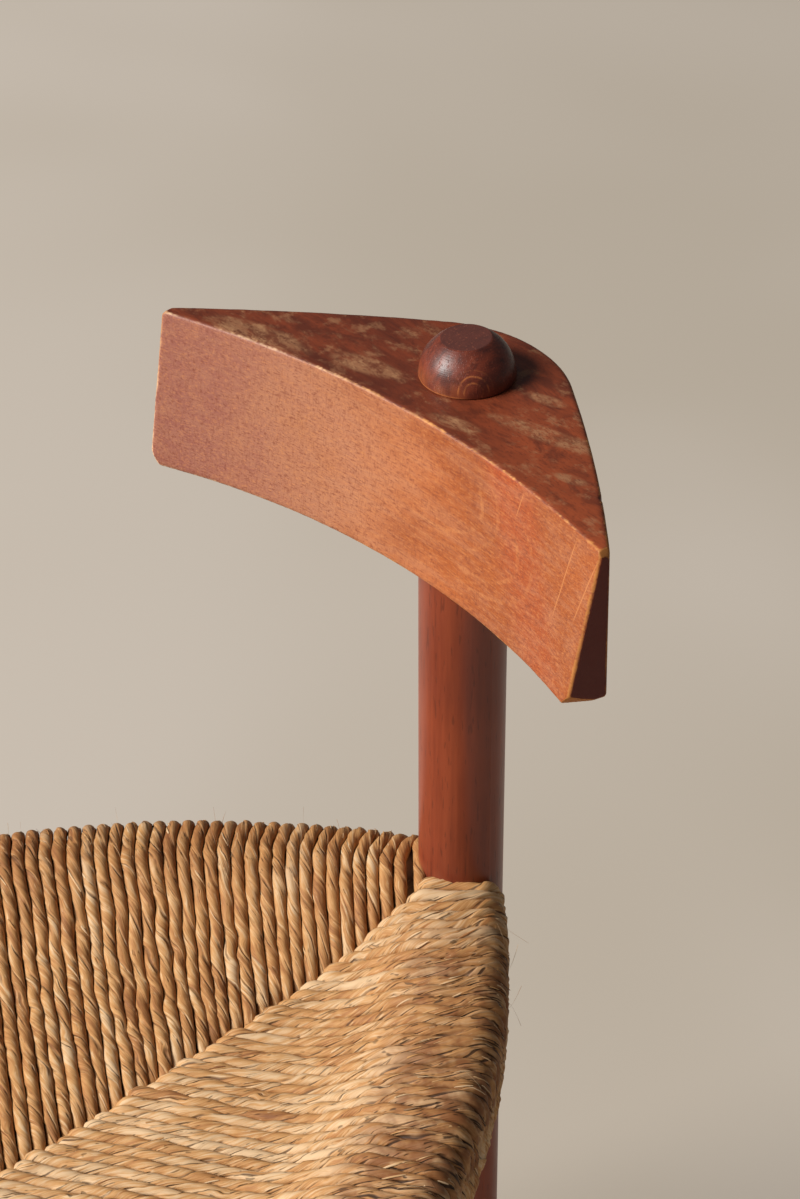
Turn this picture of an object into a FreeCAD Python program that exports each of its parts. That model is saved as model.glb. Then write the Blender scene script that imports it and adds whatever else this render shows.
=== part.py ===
import FreeCAD, Part
import math
import os

# A three-legged chair with a woven rush seat and a short, thick back block on one post.
# The frame is three round legs joined by three identical bowed rails, which make a triangle with
# bulging sides. The rear leg runs on upwards as the back post: its turned end passes through the
# crescent-shaped back block and a domed cap closes it. Rush cord is wound round each rail and runs
# inwards to the mitre lines, over loose padding.
# Millimetres, +Z up, the sitter faces -Y. The origin is on the floor, under the middle of the
# chair's bounding box.

Vector = FreeCAD.Vector
UP = Vector(0, 0, 1)

# Driving sizes of the frame
LEG_D = 36.0              # round legs and back post
LEG_SPACING = 470.0       # between leg axes, the same on all three sides
SEAT_HEIGHT = 440.0       # floor to the crest of the rush
BLOCK_TOP = 680.0         # floor to the top face of the back block

# Rails: flat boards on edge, bowed outwards, round at their edges
RAIL_T = 22.0
RAIL_H = 37.5
RAIL_EDGE_R = 7.0
RAIL_STRAIGHT = 108.0     # straight middle of a rail; an even bend on each side runs to the legs
BOW_ANGLE = 26.0          # how far a rail turns, in degrees, between its middle and its end
JOINT_GAP = 0.1           # glue line between two turned or sawn pieces

# Dowels that join rails to legs, two in each joint
DOWEL_D = 8.0
DOWEL_LENGTH = 34.0
DOWEL_TIP = 6.5           # from the leg's axis to the dowel's inner end
DOWEL_PITCH = 18.0        # height between the two dowels of a joint
DOWEL_HOLE_SLACK = 0.5    # empty depth past each end of a dowel

# Rush cord, as laid: each wrap is an open loop whose two ends meet the mitre
CORD_D = 4.6
CORD_LAY_GAP = 0.4        # least gap between neighbouring wraps, where a mitre draws them together
CORD_GAP = 0.3            # between cord and the wood or padding under it
CORD_TURN_SHARE = 0.4     # how much of the rail's turning the wraps follow
CREST_R = 80.0            # long round of the padded crest, on its way down into the dish
CENTRE_THICKNESS = 17.8   # through both layers of rush at the seat's centre
MITRE_GAP = 0.15          # from each mitre plane to the cord or padding beside it

# Front legs: domed tops that stand out of the rush
LEG_TOP_RISE = 15.0       # dome top above the crest
LEG_TOP_FLAT_D = 19.0
LEG_DOME_H = 14.0
LEG_DOME_BULGE = 2.2      # how far the dome's side stands out from a straight cone
LEG_FOOT_CHAMFER = 2.0

# Back block: a crescent about the post, whose hollow front leans forward at its foot
BLOCK_H = 65.0
BLOCK_TURN = 4.0          # degrees that the block is turned on its post, seen from above
BLOCK_WIDTH = 238.8       # between the rear corners of its two ends, at the top and at the bottom
BLOCK_FOOT_WIDTH = 241.0
BLOCK_REACH = 47.6        # those corners, in front of the post's axis
BLOCK_END_TOP = 3.8       # depth of an end face at the top and at the bottom
BLOCK_END_BOTTOM = 17.5
BLOCK_END_ANGLE = 18.0    # how far an end face turns in towards the front, in degrees
BLOCK_FRONT_TOP = 33.8    # middle of the hollow front, in front of the axis, top and bottom
BLOCK_FRONT_BOTTOM = 43.1
BLOCK_NOSE_R = 58.0       # round at the back
BLOCK_NOSE_ANGLE = 36.0   # how far that round turns to each side, in degrees
BLOCK_NOSE_BACK = 34.6    # its rearmost point, behind the axis
BLOCK_EDGE_R = 1.4
BLOCK_EDGE_LIMIT_SHARE = 0.4

# Back post: its turned tenon passes through the block
TENON_D = 26.0
TENON_SHORT = 0.5         # how far the tenon stays below the block's top face

# Domed cap on the block, with its spigot in the post's end
CAP_D = 36.6
CAP_BASE_D = 33.2
CAP_WIDEST_H = 5.0        # height of its widest ring above the block
CAP_H = 17.0
CAP_FLAT_D = 19.4
CAP_BULGE = 1.9           # how far its side stands out from a straight cone
SPIGOT_D = 12.0
SPIGOT_LENGTH = 22.0
SPIGOT_HOLE_SLACK = 1.5

# Reach of cutting bodies past what they cut
OVERRUN = 20.0

LEG_R = LEG_D / 2
CORD_R = CORD_D / 2
MITRE = math.radians(60)
INRADIUS = LEG_SPACING / (2 * math.sqrt(3))
CIRCUMRADIUS = LEG_SPACING / math.sqrt(3)
BOW = math.radians(BOW_ANGLE)
BOW_R = (LEG_SPACING - RAIL_STRAIGHT) / (2 * math.sin(BOW))
SAGITTA = BOW_R * (1 - math.cos(BOW))
RAIL_LENGTH = RAIL_STRAIGHT + 2 * BOW_R * BOW

# Heights
RAIL_TOP = SEAT_HEIGHT - CORD_D - CORD_GAP
RAIL_MID = RAIL_TOP - RAIL_H / 2
CORD_TOP_Z = RAIL_TOP + CORD_GAP + CORD_R
CORD_BOTTOM_Z = RAIL_TOP - RAIL_H - CORD_GAP - CORD_R
BLOCK_BOTTOM = BLOCK_TOP - BLOCK_H

# Places: the seat's centre is set so that the origin is under the middle of the bounding box
WRAP_HALF = RAIL_T / 2 + CORD_GAP + CORD_D
NOSE_CENTRE = BLOCK_NOSE_R - BLOCK_NOSE_BACK
BACK_REACH = BLOCK_NOSE_R - NOSE_CENTRE * math.cos(math.radians(BLOCK_TURN))
FRONT_REACH = INRADIUS + SAGITTA + WRAP_HALF
SEAT_CENTRE_Y = (FRONT_REACH - CIRCUMRADIUS - BACK_REACH) / 2
SEAT_CENTRE = Vector(0, SEAT_CENTRE_Y, 0)

# Corners of the leg triangle as turns of the rear corner about the seat's centre, in degrees
CORNER_ANGLES = {"rear": 0, "right_front": 120, "left_front": 240}
FRONT_CORNERS = ("right_front", "left_front")
# Rails as turns of the front rail. Left and right are the sitter's own.
SIDE_ANGLES = {"front": 0, "left": 120, "right": 240}

# The dish: from the rail's flat top the long round of the crest, then a hollow arc that is level
# at the seat's centre
EDGE_BEND_R = RAIL_EDGE_R + CORD_GAP + CORD_R
SEAT_REACH = INRADIUS + SAGITTA
SEAT_DISH = RAIL_H + 2 * (CORD_GAP + CORD_D) - CENTRE_THICKNESS
CREST_START = RAIL_T / 2 - RAIL_EDGE_R
DISH_ANGLE = 2 * math.atan(SEAT_DISH / (SEAT_REACH - CREST_START))
CREST_END = CREST_START + CREST_R * math.sin(DISH_ANGLE)
DISH_R = (SEAT_REACH - CREST_START) / math.sin(DISH_ANGLE) - CREST_R

# Pitch of the wraps along the rail: they draw together most where the bend starts, at the mitre
BEND_TO_MITRE = SEAT_REACH - RAIL_STRAIGHT / 2 / math.tan(MITRE)
CORD_PITCH = (CORD_D + CORD_LAY_GAP) / (1 - CORD_TURN_SHARE * BEND_TO_MITRE / BOW_R)


def turned(shape, degrees):
    """The shape turned about the upright axis through the seat's centre."""
    copy = shape.copy()
    copy.rotate(SEAT_CENTRE, UP, degrees)
    return copy


def corner_axis(name):
    """The floor point of a leg's axis."""
    angle = math.radians(90 + CORNER_ANGLES[name])
    return SEAT_CENTRE + Vector(math.cos(angle), math.sin(angle), 0) * CIRCUMRADIUS


def arc(start, middle, end):
    """An arc edge through three points."""
    return Part.Arc(start, middle, end).toShape()


def line(start, end):
    """A straight edge."""
    return Part.LineSegment(start, end).toShape()


def reach_at(distance, skew):
    """How far in from the rail's middle a wrap is, a distance along it; it runs askew by skew."""
    return BOW_R - math.sqrt(BOW_R ** 2 + distance ** 2 - 2 * BOW_R * distance * math.cos(skew))


def distance_to(reach, skew):
    """The distance along a wrap at which it is a given reach in from the rail's middle."""
    return BOW_R * math.cos(skew) - math.sqrt((BOW_R - reach) ** 2 - (BOW_R * math.sin(skew)) ** 2)


def seat_z(reach):
    """Height of the cord's centreline over the seat, at a distance in from the rail's middle."""
    if reach <= CREST_END:
        return CORD_TOP_Z - CREST_R + math.sqrt(CREST_R ** 2 - max(0, reach - CREST_START) ** 2)
    return CORD_TOP_Z - SEAT_DISH + DISH_R - math.sqrt(DISH_R ** 2 - (SEAT_REACH - reach) ** 2)


def rail_station(s):
    """Plan point, and turn in radians, of the front rail's middle line, s from its centre."""
    side = 1 if s >= 0 else -1
    turn = max(0.0, abs(s) - RAIL_STRAIGHT / 2) / BOW_R
    along = min(abs(s), RAIL_STRAIGHT / 2) + BOW_R * math.sin(turn)
    bulge = SAGITTA - BOW_R * (1 - math.cos(turn))
    return SEAT_CENTRE + Vector(side * along, -INRADIUS - bulge, 0), side * turn


def swept_along_rail(edges):
    """A section, drawn in the YZ plane with Y as the distance in from the rail, run along the rail."""
    face = Part.Face(Part.Wire(edges))
    rail_y = SEAT_CENTRE_Y - SEAT_REACH
    pieces = []
    for side in (-1, 1):
        end = face.copy()
        end.translate(Vector(side * RAIL_STRAIGHT / 2, rail_y, 0))
        bend_axis = Vector(side * RAIL_STRAIGHT / 2, rail_y + BOW_R, 0)
        pieces.append(end.revolve(bend_axis, UP, side * BOW_ANGLE))
        if side < 0:
            pieces.append(end.extrude(Vector(RAIL_STRAIGHT, 0, 0)))
    return pieces[0].fuse(pieces[1:]).removeSplitter()


def mitre_wedge():
    """The upright wedge between the two mitre planes of the front side, less the mitre gap."""
    apex = SEAT_CENTRE + Vector(0, -MITRE_GAP / math.sin(MITRE), 0)
    reach = 2 * CIRCUMRADIUS
    corners = [apex + Vector(side * math.sin(MITRE), -math.cos(MITRE), 0) * reach for side in (-1, 1)]
    wire = Part.makePolygon([apex, corners[0], corners[1], apex])
    return Part.Face(wire).extrude(UP * (SEAT_HEIGHT + OVERRUN))


def rounded_section(thickness, low, high, radius):
    """Edges of an upright rounded rectangle in the YZ plane, centred on Y 0."""
    side = thickness / 2 - radius
    quarter = math.pi / 2
    centres = [(side, high - radius), (-side, high - radius), (-side, low + radius), (side, low + radius)]
    rounds = []
    for index, (y, z) in enumerate(centres):
        angles = [quarter * (index + share) for share in (0, 0.5, 1)]
        rounds.append([Vector(0, y + radius * math.cos(a), z + radius * math.sin(a)) for a in angles])
    edges = []
    for index, points in enumerate(rounds):
        edges.append(arc(*points))
        edges.append(line(points[-1], rounds[(index + 1) % len(rounds)][0]))
    return edges


def upright_cylinder(centre, radius, low, high):
    """A round bar between two heights."""
    return Part.makeCylinder(radius, high - low, Vector(centre.x, centre.y, low), UP)


def bulged(start, end, bulge):
    """An arc between two profile points that stands out to the right of the way it runs."""
    chord = end - start
    outwards = Vector(chord.z, 0, -chord.x).normalize()
    return arc(start, (start + end) * 0.5 + outwards * bulge, end)


def turned_solid(centre, side):
    """A solid of revolution about an upright axis, from the edges of its side, foot to top."""
    foot = side[0].valueAt(side[0].FirstParameter)
    top = side[-1].valueAt(side[-1].LastParameter)
    axis_foot, axis_top = Vector(0, 0, foot.z), Vector(0, 0, top.z)
    profile = [line(axis_foot, foot)] + side + [line(top, axis_top), line(axis_top, axis_foot)]
    solid = Part.Face(Part.Wire(profile)).revolve(Vector(0, 0, 0), UP, 360)
    solid.translate(Vector(centre.x, centre.y, 0))
    return solid


def dowel_bars(corner, radius, slack):
    """The four dowels at a corner, or with slack the holes for them."""
    axis = corner_axis(corner)
    bars = []
    for side in (-1, 1):
        # a rail leaves the rear corner 30 degrees plus its bow away from the seat's middle line
        heading = math.radians(270 + CORNER_ANGLES[corner] + side * (30 + BOW_ANGLE))
        direction = Vector(math.cos(heading), math.sin(heading), 0)
        for level in (-1, 1):
            start = axis + direction * (DOWEL_TIP - slack)
            start.z = RAIL_MID + level * DOWEL_PITCH / 2
            bars.append(Part.makeCylinder(radius, DOWEL_LENGTH + 2 * slack, start, direction))
    return bars


def dowel_holes(corner):
    """Cutting bodies for the dowels of a corner."""
    return dowel_bars(corner, DOWEL_D / 2 + JOINT_GAP, DOWEL_HOLE_SLACK)


def front_leg(corner):
    """A front leg with a domed top that stands above the rush."""
    top = SEAT_HEIGHT + LEG_TOP_RISE
    foot = Vector(LEG_R - LEG_FOOT_CHAMFER, 0, 0)
    ankle = Vector(LEG_R, 0, LEG_FOOT_CHAMFER)
    shoulder = Vector(LEG_R, 0, top - LEG_DOME_H)
    flat = Vector(LEG_TOP_FLAT_D / 2, 0, top)
    side = [line(foot, ankle), line(ankle, shoulder), bulged(shoulder, flat, LEG_DOME_BULGE)]
    return turned_solid(corner_axis(corner), side).cut(dowel_holes(corner))


def rear_post():
    """The rear leg, which runs up to the block and carries it on a shoulder, with a tenon through it."""
    axis = corner_axis("rear")
    shaft = upright_cylinder(axis, LEG_R, 0, BLOCK_BOTTOM)
    foot_edge = [e for e in shaft.Edges if abs(e.CenterOfMass.z) < JOINT_GAP and e.Length > LEG_R]
    shaft = shaft.makeChamfer(LEG_FOOT_CHAMFER, foot_edge)
    tenon_top = BLOCK_TOP - TENON_SHORT
    post = shaft.fuse(upright_cylinder(axis, TENON_D / 2, BLOCK_BOTTOM, tenon_top)).removeSplitter()
    hole_bottom = BLOCK_TOP - SPIGOT_LENGTH - SPIGOT_HOLE_SLACK
    spigot_hole = upright_cylinder(axis, SPIGOT_D / 2 + JOINT_GAP, hole_bottom, tenon_top + OVERRUN)
    return post.cut([spigot_hole] + dowel_holes("rear"))


def post_cap():
    """The domed cap on the block, turned in one piece with its spigot."""
    axis = corner_axis("rear")
    base = Vector(CAP_BASE_D / 2, 0, BLOCK_TOP)
    widest = Vector(CAP_D / 2, 0, BLOCK_TOP + CAP_WIDEST_H)
    flat = Vector(CAP_FLAT_D / 2, 0, BLOCK_TOP + CAP_H)
    # the side is upright where it is widest
    flare = widest - base
    under_bulge = flare.Length / 2 * math.tan(math.atan2(flare.x, flare.z) / 2)
    dome = turned_solid(axis, [bulged(base, widest, under_bulge), bulged(widest, flat, CAP_BULGE)])
    spigot = upright_cylinder(axis, SPIGOT_D / 2, BLOCK_TOP - SPIGOT_LENGTH, BLOCK_TOP)
    return dome.fuse(spigot).removeSplitter()


def block_outline(width, end_depth, front, z):
    """Closed plan outline of the back block at one height, about the post's axis."""
    slope = math.radians(BLOCK_NOSE_ANGLE)
    nose_centre = Vector(0, -NOSE_CENTRE, z)
    # the flank is an arc that leaves the nose smoothly and runs to the end's rear corner
    flank_start = nose_centre + Vector(math.sin(slope), math.cos(slope), 0) * BLOCK_NOSE_R
    rear_corner = Vector(width / 2, -BLOCK_REACH, z)
    chord = rear_corner - flank_start
    bend = math.atan2(-chord.y, chord.x) - slope
    outwards = Vector(-chord.y, chord.x, 0)
    flank_middle = flank_start + chord * 0.5 + outwards * (math.tan(bend / 2) / 2)
    turn_in = math.radians(BLOCK_END_ANGLE)
    front_corner = rear_corner - Vector(math.sin(turn_in), math.cos(turn_in), 0) * end_depth

    def mirrored(point):
        return Vector(-point.x, point.y, point.z)

    return Part.Wire([
        arc(mirrored(front_corner), Vector(0, -front, z), front_corner),
        line(front_corner, rear_corner),
        arc(rear_corner, flank_middle, flank_start),
        arc(flank_start, nose_centre + Vector(0, BLOCK_NOSE_R, 0), mirrored(flank_start)),
        arc(mirrored(flank_start), mirrored(flank_middle), mirrored(rear_corner)),
        line(mirrored(rear_corner), mirrored(front_corner)),
    ])


def back_block():
    """The thick crescent that the sitter leans on, bored for the post's tenon."""
    bottom = block_outline(BLOCK_FOOT_WIDTH, BLOCK_END_BOTTOM, BLOCK_FRONT_BOTTOM, BLOCK_BOTTOM)
    top = block_outline(BLOCK_WIDTH, BLOCK_END_TOP, BLOCK_FRONT_TOP, BLOCK_TOP)
    block = Part.makeLoft([bottom, top], True, True)
    thinnest = min(BLOCK_END_TOP, BLOCK_END_BOTTOM)
    block = block.makeFillet(min(BLOCK_EDGE_R, BLOCK_EDGE_LIMIT_SHARE * thinnest), block.Edges)
    bore_r = TENON_D / 2 + JOINT_GAP
    bore = Part.makeCylinder(bore_r, BLOCK_H + 2 * OVERRUN, Vector(0, 0, BLOCK_BOTTOM - OVERRUN), UP)
    block = block.cut(bore)
    block.rotate(Vector(0, 0, 0), UP, BLOCK_TURN)
    block.translate(corner_axis("rear"))
    return block


def front_rail():
    """The front rail, bowed outwards, with its ends hollowed to fit the legs and bored for dowels."""
    rail = swept_along_rail(rounded_section(RAIL_T, RAIL_TOP - RAIL_H, RAIL_TOP, RAIL_EDGE_R))
    for corner in FRONT_CORNERS:
        leg = upright_cylinder(corner_axis(corner), LEG_R + JOINT_GAP, 0, SEAT_HEIGHT)
        rail = rail.cut([leg] + dowel_holes(corner))
    return rail


def front_padding():
    """The loose filling between the upper and lower layers of rush, on the front side."""
    bottom = CORD_BOTTOM_Z + CORD_R + CORD_GAP
    near, far = RAIL_T / 2 + CORD_GAP, SEAT_REACH + OVERRUN

    def top_arc(start, end):
        reaches = (start, (start + end) / 2, end)
        return arc(*[Vector(0, reach, seat_z(reach) - CORD_R - CORD_GAP) for reach in reaches])

    top = [top_arc(near, CREST_END), top_arc(CREST_END, far)]
    near_top = top[0].valueAt(top[0].FirstParameter)
    far_top = top[1].valueAt(top[1].LastParameter)
    near_foot, far_foot = Vector(0, near, bottom), Vector(0, far, bottom)
    rest = [line(far_top, far_foot), line(far_foot, near_foot), line(near_foot, near_top)]
    padding = swept_along_rail(top + rest).common(mitre_wedge())
    legs = [
        upright_cylinder(corner_axis(corner), LEG_R + CORD_GAP, 0, SEAT_HEIGHT)
        for corner in FRONT_CORNERS
    ]
    return padding.cut(legs)


def wrap(s, wedge):
    """One wrap of cord round the front rail, s along it: an open loop with both ends at a mitre."""
    crossing, turn = rail_station(s)
    heading = CORD_TURN_SHARE * turn
    skew = turn - heading
    inwards = Vector(-math.sin(heading), math.cos(heading), 0)
    mitre_normal = Vector(math.copysign(math.cos(MITRE), s), math.sin(MITRE), 0)
    to_mitre = (SEAT_CENTRE - crossing).dot(mitre_normal) / inwards.dot(mitre_normal)

    def at(distance, z):
        """A point in the wrap's own upright plane."""
        return Vector(crossing.x, crossing.y, z) + inwards * distance

    def over_edge(middle_z, sign):
        """The quarter bend over the rail's outer edge, from the crest: sign 1 above, -1 below."""
        centre = distance_to(-(RAIL_T / 2 + CORD_GAP + CORD_R), skew) + EDGE_BEND_R
        turns = [math.radians(degrees) for degrees in (90, 135, 180)]
        return [
            at(centre + EDGE_BEND_R * math.cos(a), middle_z + sign * EDGE_BEND_R * math.sin(a))
            for a in turns
        ]

    def over_seat(start, end):
        """An arc over the seat between two distances along the wrap."""
        distances = (start, (start + end) / 2, end)
        return arc(*[at(distance, seat_z(reach_at(distance, skew))) for distance in distances])

    # one cord past the mitre, so that the wedge trims a whole section
    crest_start, crest_end = distance_to(CREST_START, skew), distance_to(CREST_END, skew)
    tail = max(to_mitre, crest_end) + CORD_D
    upper = over_edge(CORD_TOP_Z - EDGE_BEND_R, 1)
    lower = over_edge(CORD_BOTTOM_Z + EDGE_BEND_R, -1)
    path = [
        line(at(tail, CORD_BOTTOM_Z), lower[0]),
        arc(*lower),
        line(lower[2], upper[2]),
        arc(*reversed(upper)),
        line(upper[0], at(crest_start, CORD_TOP_Z)),
        over_seat(crest_start, crest_end),
        over_seat(crest_end, tail),
    ]
    section = Part.Wire([Part.Circle(at(tail, CORD_BOTTOM_Z), inwards, CORD_R).toShape()])
    return Part.Wire(path).makePipeShell([section], True, False).common(wedge)


def wrap_stations():
    """Where the wraps cross the front rail: evenly spaced, clear of both legs."""
    clear = (LEG_R + CORD_GAP + CORD_R) / math.cos(BOW * (1 - CORD_TURN_SHARE))
    last = RAIL_LENGTH / 2 - clear
    count = int(2 * last / CORD_PITCH) + 1
    return [last * (2 * index / (count - 1) - 1) for index in range(count)]


def front_rush():
    """All wraps of the front side, as separate solids."""
    wedge = mitre_wedge()
    return [solid for s in wrap_stations() for solid in wrap(s, wedge).Solids]


def report_rush(wraps):
    """Prints the number of wraps and the least gap between neighbours, measured on their solids."""
    gaps = [a.distToShape(b)[0] for a, b in zip(wraps[::8], wraps[1::8])]
    print("wraps on a side", len(wraps), "least gap", round(min(gaps), 3))


def write(name, shape):
    """Writes one node, and prints a line if something is wrong with a solid."""
    bad = [solid for solid in shape.Solids if not solid.isValid() or solid.Volume <= 0]
    if bad or not shape.Solids:
        print("check", name, "solids", len(shape.Solids), "bad", len(bad))
    shape.exportStep(os.path.join("parts", name + ".step"))


def main():
    os.makedirs("parts", exist_ok=True)
    write("rear_post", rear_post())
    for corner in FRONT_CORNERS:
        write(corner + "_leg", front_leg(corner))
    write("back_block", back_block())
    write("post_cap", post_cap())
    rail, padding, wraps = front_rail(), front_padding(), front_rush()
    report_rush(wraps)
    rush = Part.makeCompound(wraps)
    for side, degrees in SIDE_ANGLES.items():
        write(side + "_rail", turned(rail, degrees))
        write(side + "_padding", turned(padding, degrees))
        write(side + "_rush", turned(rush, degrees))
    for corner in CORNER_ANGLES:
        write(corner + "_dowels", Part.makeCompound(dowel_bars(corner, DOWEL_D / 2, 0)))


main()
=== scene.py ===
"""Looks of a three-legged chair with a rush seat and a thick back block, built around its CAD frame."""

import logging
import math
from collections.abc import Callable
from dataclasses import dataclass, field
from enum import Enum

import bmesh
import bpy
import numpy as np
from mathutils import Matrix, Vector, noise
from mathutils.bvhtree import BVHTree


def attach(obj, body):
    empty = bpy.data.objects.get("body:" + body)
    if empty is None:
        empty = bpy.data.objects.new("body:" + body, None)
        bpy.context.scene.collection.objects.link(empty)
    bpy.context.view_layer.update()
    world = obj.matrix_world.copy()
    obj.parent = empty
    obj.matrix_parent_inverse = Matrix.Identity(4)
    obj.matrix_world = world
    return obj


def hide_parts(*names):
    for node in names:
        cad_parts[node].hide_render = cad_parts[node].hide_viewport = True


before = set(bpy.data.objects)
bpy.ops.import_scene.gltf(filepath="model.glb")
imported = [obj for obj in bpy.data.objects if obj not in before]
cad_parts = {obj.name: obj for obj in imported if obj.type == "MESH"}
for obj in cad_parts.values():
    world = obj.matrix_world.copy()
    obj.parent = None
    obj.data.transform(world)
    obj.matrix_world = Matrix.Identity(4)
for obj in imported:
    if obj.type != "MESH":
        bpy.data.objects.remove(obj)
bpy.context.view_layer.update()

LOG = logging.getLogger("chair")
BODY = "root"
FULL_TURN = 2 * math.pi
# what the vertices of a line carry for its shape alone
SHAPE_ONLY = ("outward", "half_width", "room", "phase", "lay")
Colour = tuple[float, float, float]
Place = tuple[float, float, float]
Rows = dict[str, np.ndarray]


# Node trees


def pick(sockets: bpy.types.bpy_prop_collection, key: int | str) -> bpy.types.NodeSocket:
    """The socket in use with a given number, name or identifier.

    Args:
        sockets: a node's inputs or outputs.
        key: its number among those in use, or its name or identifier.

    Returns:
        The socket.
    """
    used = [socket for socket in sockets if socket.enabled]
    if isinstance(key, int):
        return used[key]
    return next(socket for socket in used if key in (socket.name, socket.identifier))


def through(operation: str, vectors: bool = False, reflected: bool = False) -> Callable[..., "Value"]:
    """Makes a method that sends a value, and others after it, through a Math or Vector Math node.

    Args:
        operation: the node's operation.
        vectors: whether it is a Vector Math node.
        reflected: whether the value goes last, as it does in 1 - mask.

    Returns:
        The method.
    """

    def method(value: "Value", *others: "Value | Place | float") -> "Value":
        """The node's result."""
        operands = (*others, value) if reflected else (value, *others)
        return (value.graph.vector_math if vectors else value.graph.math)(operation, *operands)

    return method


class Value:
    """A number on a socket. Arithmetic on it adds Math nodes to its tree."""

    def __init__(self, graph: "Graph", socket: bpy.types.NodeSocket) -> None:
        """Takes the socket and the tree that it is in."""
        self.graph = graph
        self.socket = socket

    __add__ = __radd__ = through("ADD")
    __sub__ = through("SUBTRACT")
    __rsub__ = through("SUBTRACT", reflected=True)
    __mul__ = __rmul__ = through("MULTIPLY")
    __truediv__ = through("DIVIDE")
    __rtruediv__ = through("DIVIDE", reflected=True)
    __pow__ = through("POWER")
    sine = through("SINE")
    cosine = through("COSINE")
    size = through("ABSOLUTE")
    whole = through("FLOOR")
    fraction = through("FRACT")

    def rise(self, low: float, high: float) -> "Value":
        """A smooth step.

        Args:
            low: where it is 0.
            high: where it is 1; it may be less than low, for a step down.

        Returns:
            0 to 1.
        """
        names = ("Value", "From Min", "From Max", "To Min", "To Max")
        sides = (low, high, 0.0, 1.0) if low < high else (high, low, 1.0, 0.0)
        values = dict(zip(names, (self, *sides)))
        return self.graph.value("ShaderNodeMapRange", values, interpolation_type="SMOOTHSTEP")


class Direction(Value):
    """A vector on a socket. Arithmetic on it adds Vector Math nodes to its tree."""

    __add__ = through("ADD", vectors=True)
    __sub__ = through("SUBTRACT", vectors=True)
    cross = through("CROSS_PRODUCT", vectors=True)
    normalised = through("NORMALIZE", vectors=True)

    def __mul__(self, other: "Value | Place | float") -> "Direction":
        """This vector times a number, or times another one part by part."""
        if isinstance(other, tuple | Direction):
            return self.graph.vector_math("MULTIPLY", self, other)
        scaled = {"Vector": self, "Scale": other}
        return self.graph.direction("ShaderNodeVectorMath", scaled, operation="SCALE")

    def dot(self, other: "Direction | Place") -> Value:
        """The dot product with another vector."""
        return self.graph.value("ShaderNodeVectorMath", {0: self, 1: other}, "Value", operation="DOT_PRODUCT")

    def length(self) -> Value:
        """How long it is."""
        return self.dot(self) ** 0.5

    def parts(self) -> tuple[Value, ...]:
        """Its three parts."""
        node = self.graph.node("ShaderNodeSeparateXYZ", {"Vector": self})
        return tuple(Value(self.graph, output) for output in node.outputs)


class Graph:
    """A node tree that expressions fill."""

    def __init__(self, tree: bpy.types.NodeTree) -> None:
        """Takes the tree."""
        self.tree = tree

    def node(self, kind: str, values: dict | None = None, **settings: object) -> bpy.types.Node:
        """Adds a node.

        Args:
            kind: its type.
            values: constants and links of its sockets, by number or name.
            settings: its properties, set first; stops are a ramp's places and colours.

        Returns:
            The node.
        """
        node = self.tree.nodes.new(kind)
        if "stops" in settings:
            stops, ramp = settings.pop("stops"), node.color_ramp.elements
            for _ in stops[len(ramp):]:
                ramp.new(1.0)
            for element, (at, colour) in zip(ramp, stops):
                element.position, element.color = at, (*colour, 1.0)
        for name, setting in settings.items():
            setattr(node, name, setting)
        for key, value in (values or {}).items():
            socket = pick(node.inputs, key)
            if isinstance(value, Value):
                self.tree.links.new(value.socket, socket)
            elif socket.type == "RGBA":
                socket.default_value = (*value, 1.0)
            else:
                socket.default_value = value
        return node

    def value(
        self, kind: str, values: dict | None = None, output: int | str = 0, **settings: object
    ) -> Value:
        """An output of a new node, as a number, a colour or geometry."""
        return Value(self, pick(self.node(kind, values, **settings).outputs, output))

    def direction(
        self, kind: str, values: dict | None = None, output: int | str = 0, **settings: object
    ) -> Direction:
        """An output of a new node, as a vector."""
        return Direction(self, pick(self.node(kind, values, **settings).outputs, output))

    def math(self, operation: str, *operands: Value | float) -> Value:
        """Numbers through a Math node."""
        return self.value("ShaderNodeMath", dict(enumerate(operands)), operation=operation)

    def vector_math(self, operation: str, *operands: Direction | Place) -> Direction:
        """Vectors through a Vector Math node."""
        return self.direction("ShaderNodeVectorMath", dict(enumerate(operands)), operation=operation)

    def vector(self, x: Value | float, y: Value | float, z: Value | float) -> Direction:
        """A vector of three parts."""
        return self.direction("ShaderNodeCombineXYZ", {"X": x, "Y": y, "Z": z})

    def noise(
        self, at: Direction, scale: float, detail: float = 2.0, roughness: float = 0.5, warp: float = 0.0
    ) -> Value:
        """Smooth noise from 0 to 1, mostly near a half.

        Args:
            at: where it is read.
            scale: how many changes there are in a unit.
            detail: how many finer layers it has.
            roughness: how strong those are.
            warp: how far it is distorted.

        Returns:
            The noise.
        """
        values = {"Vector": at, "Scale": scale, "Detail": detail, "Roughness": roughness, "Distortion": warp}
        return self.value("ShaderNodeTexNoise", values)


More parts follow.
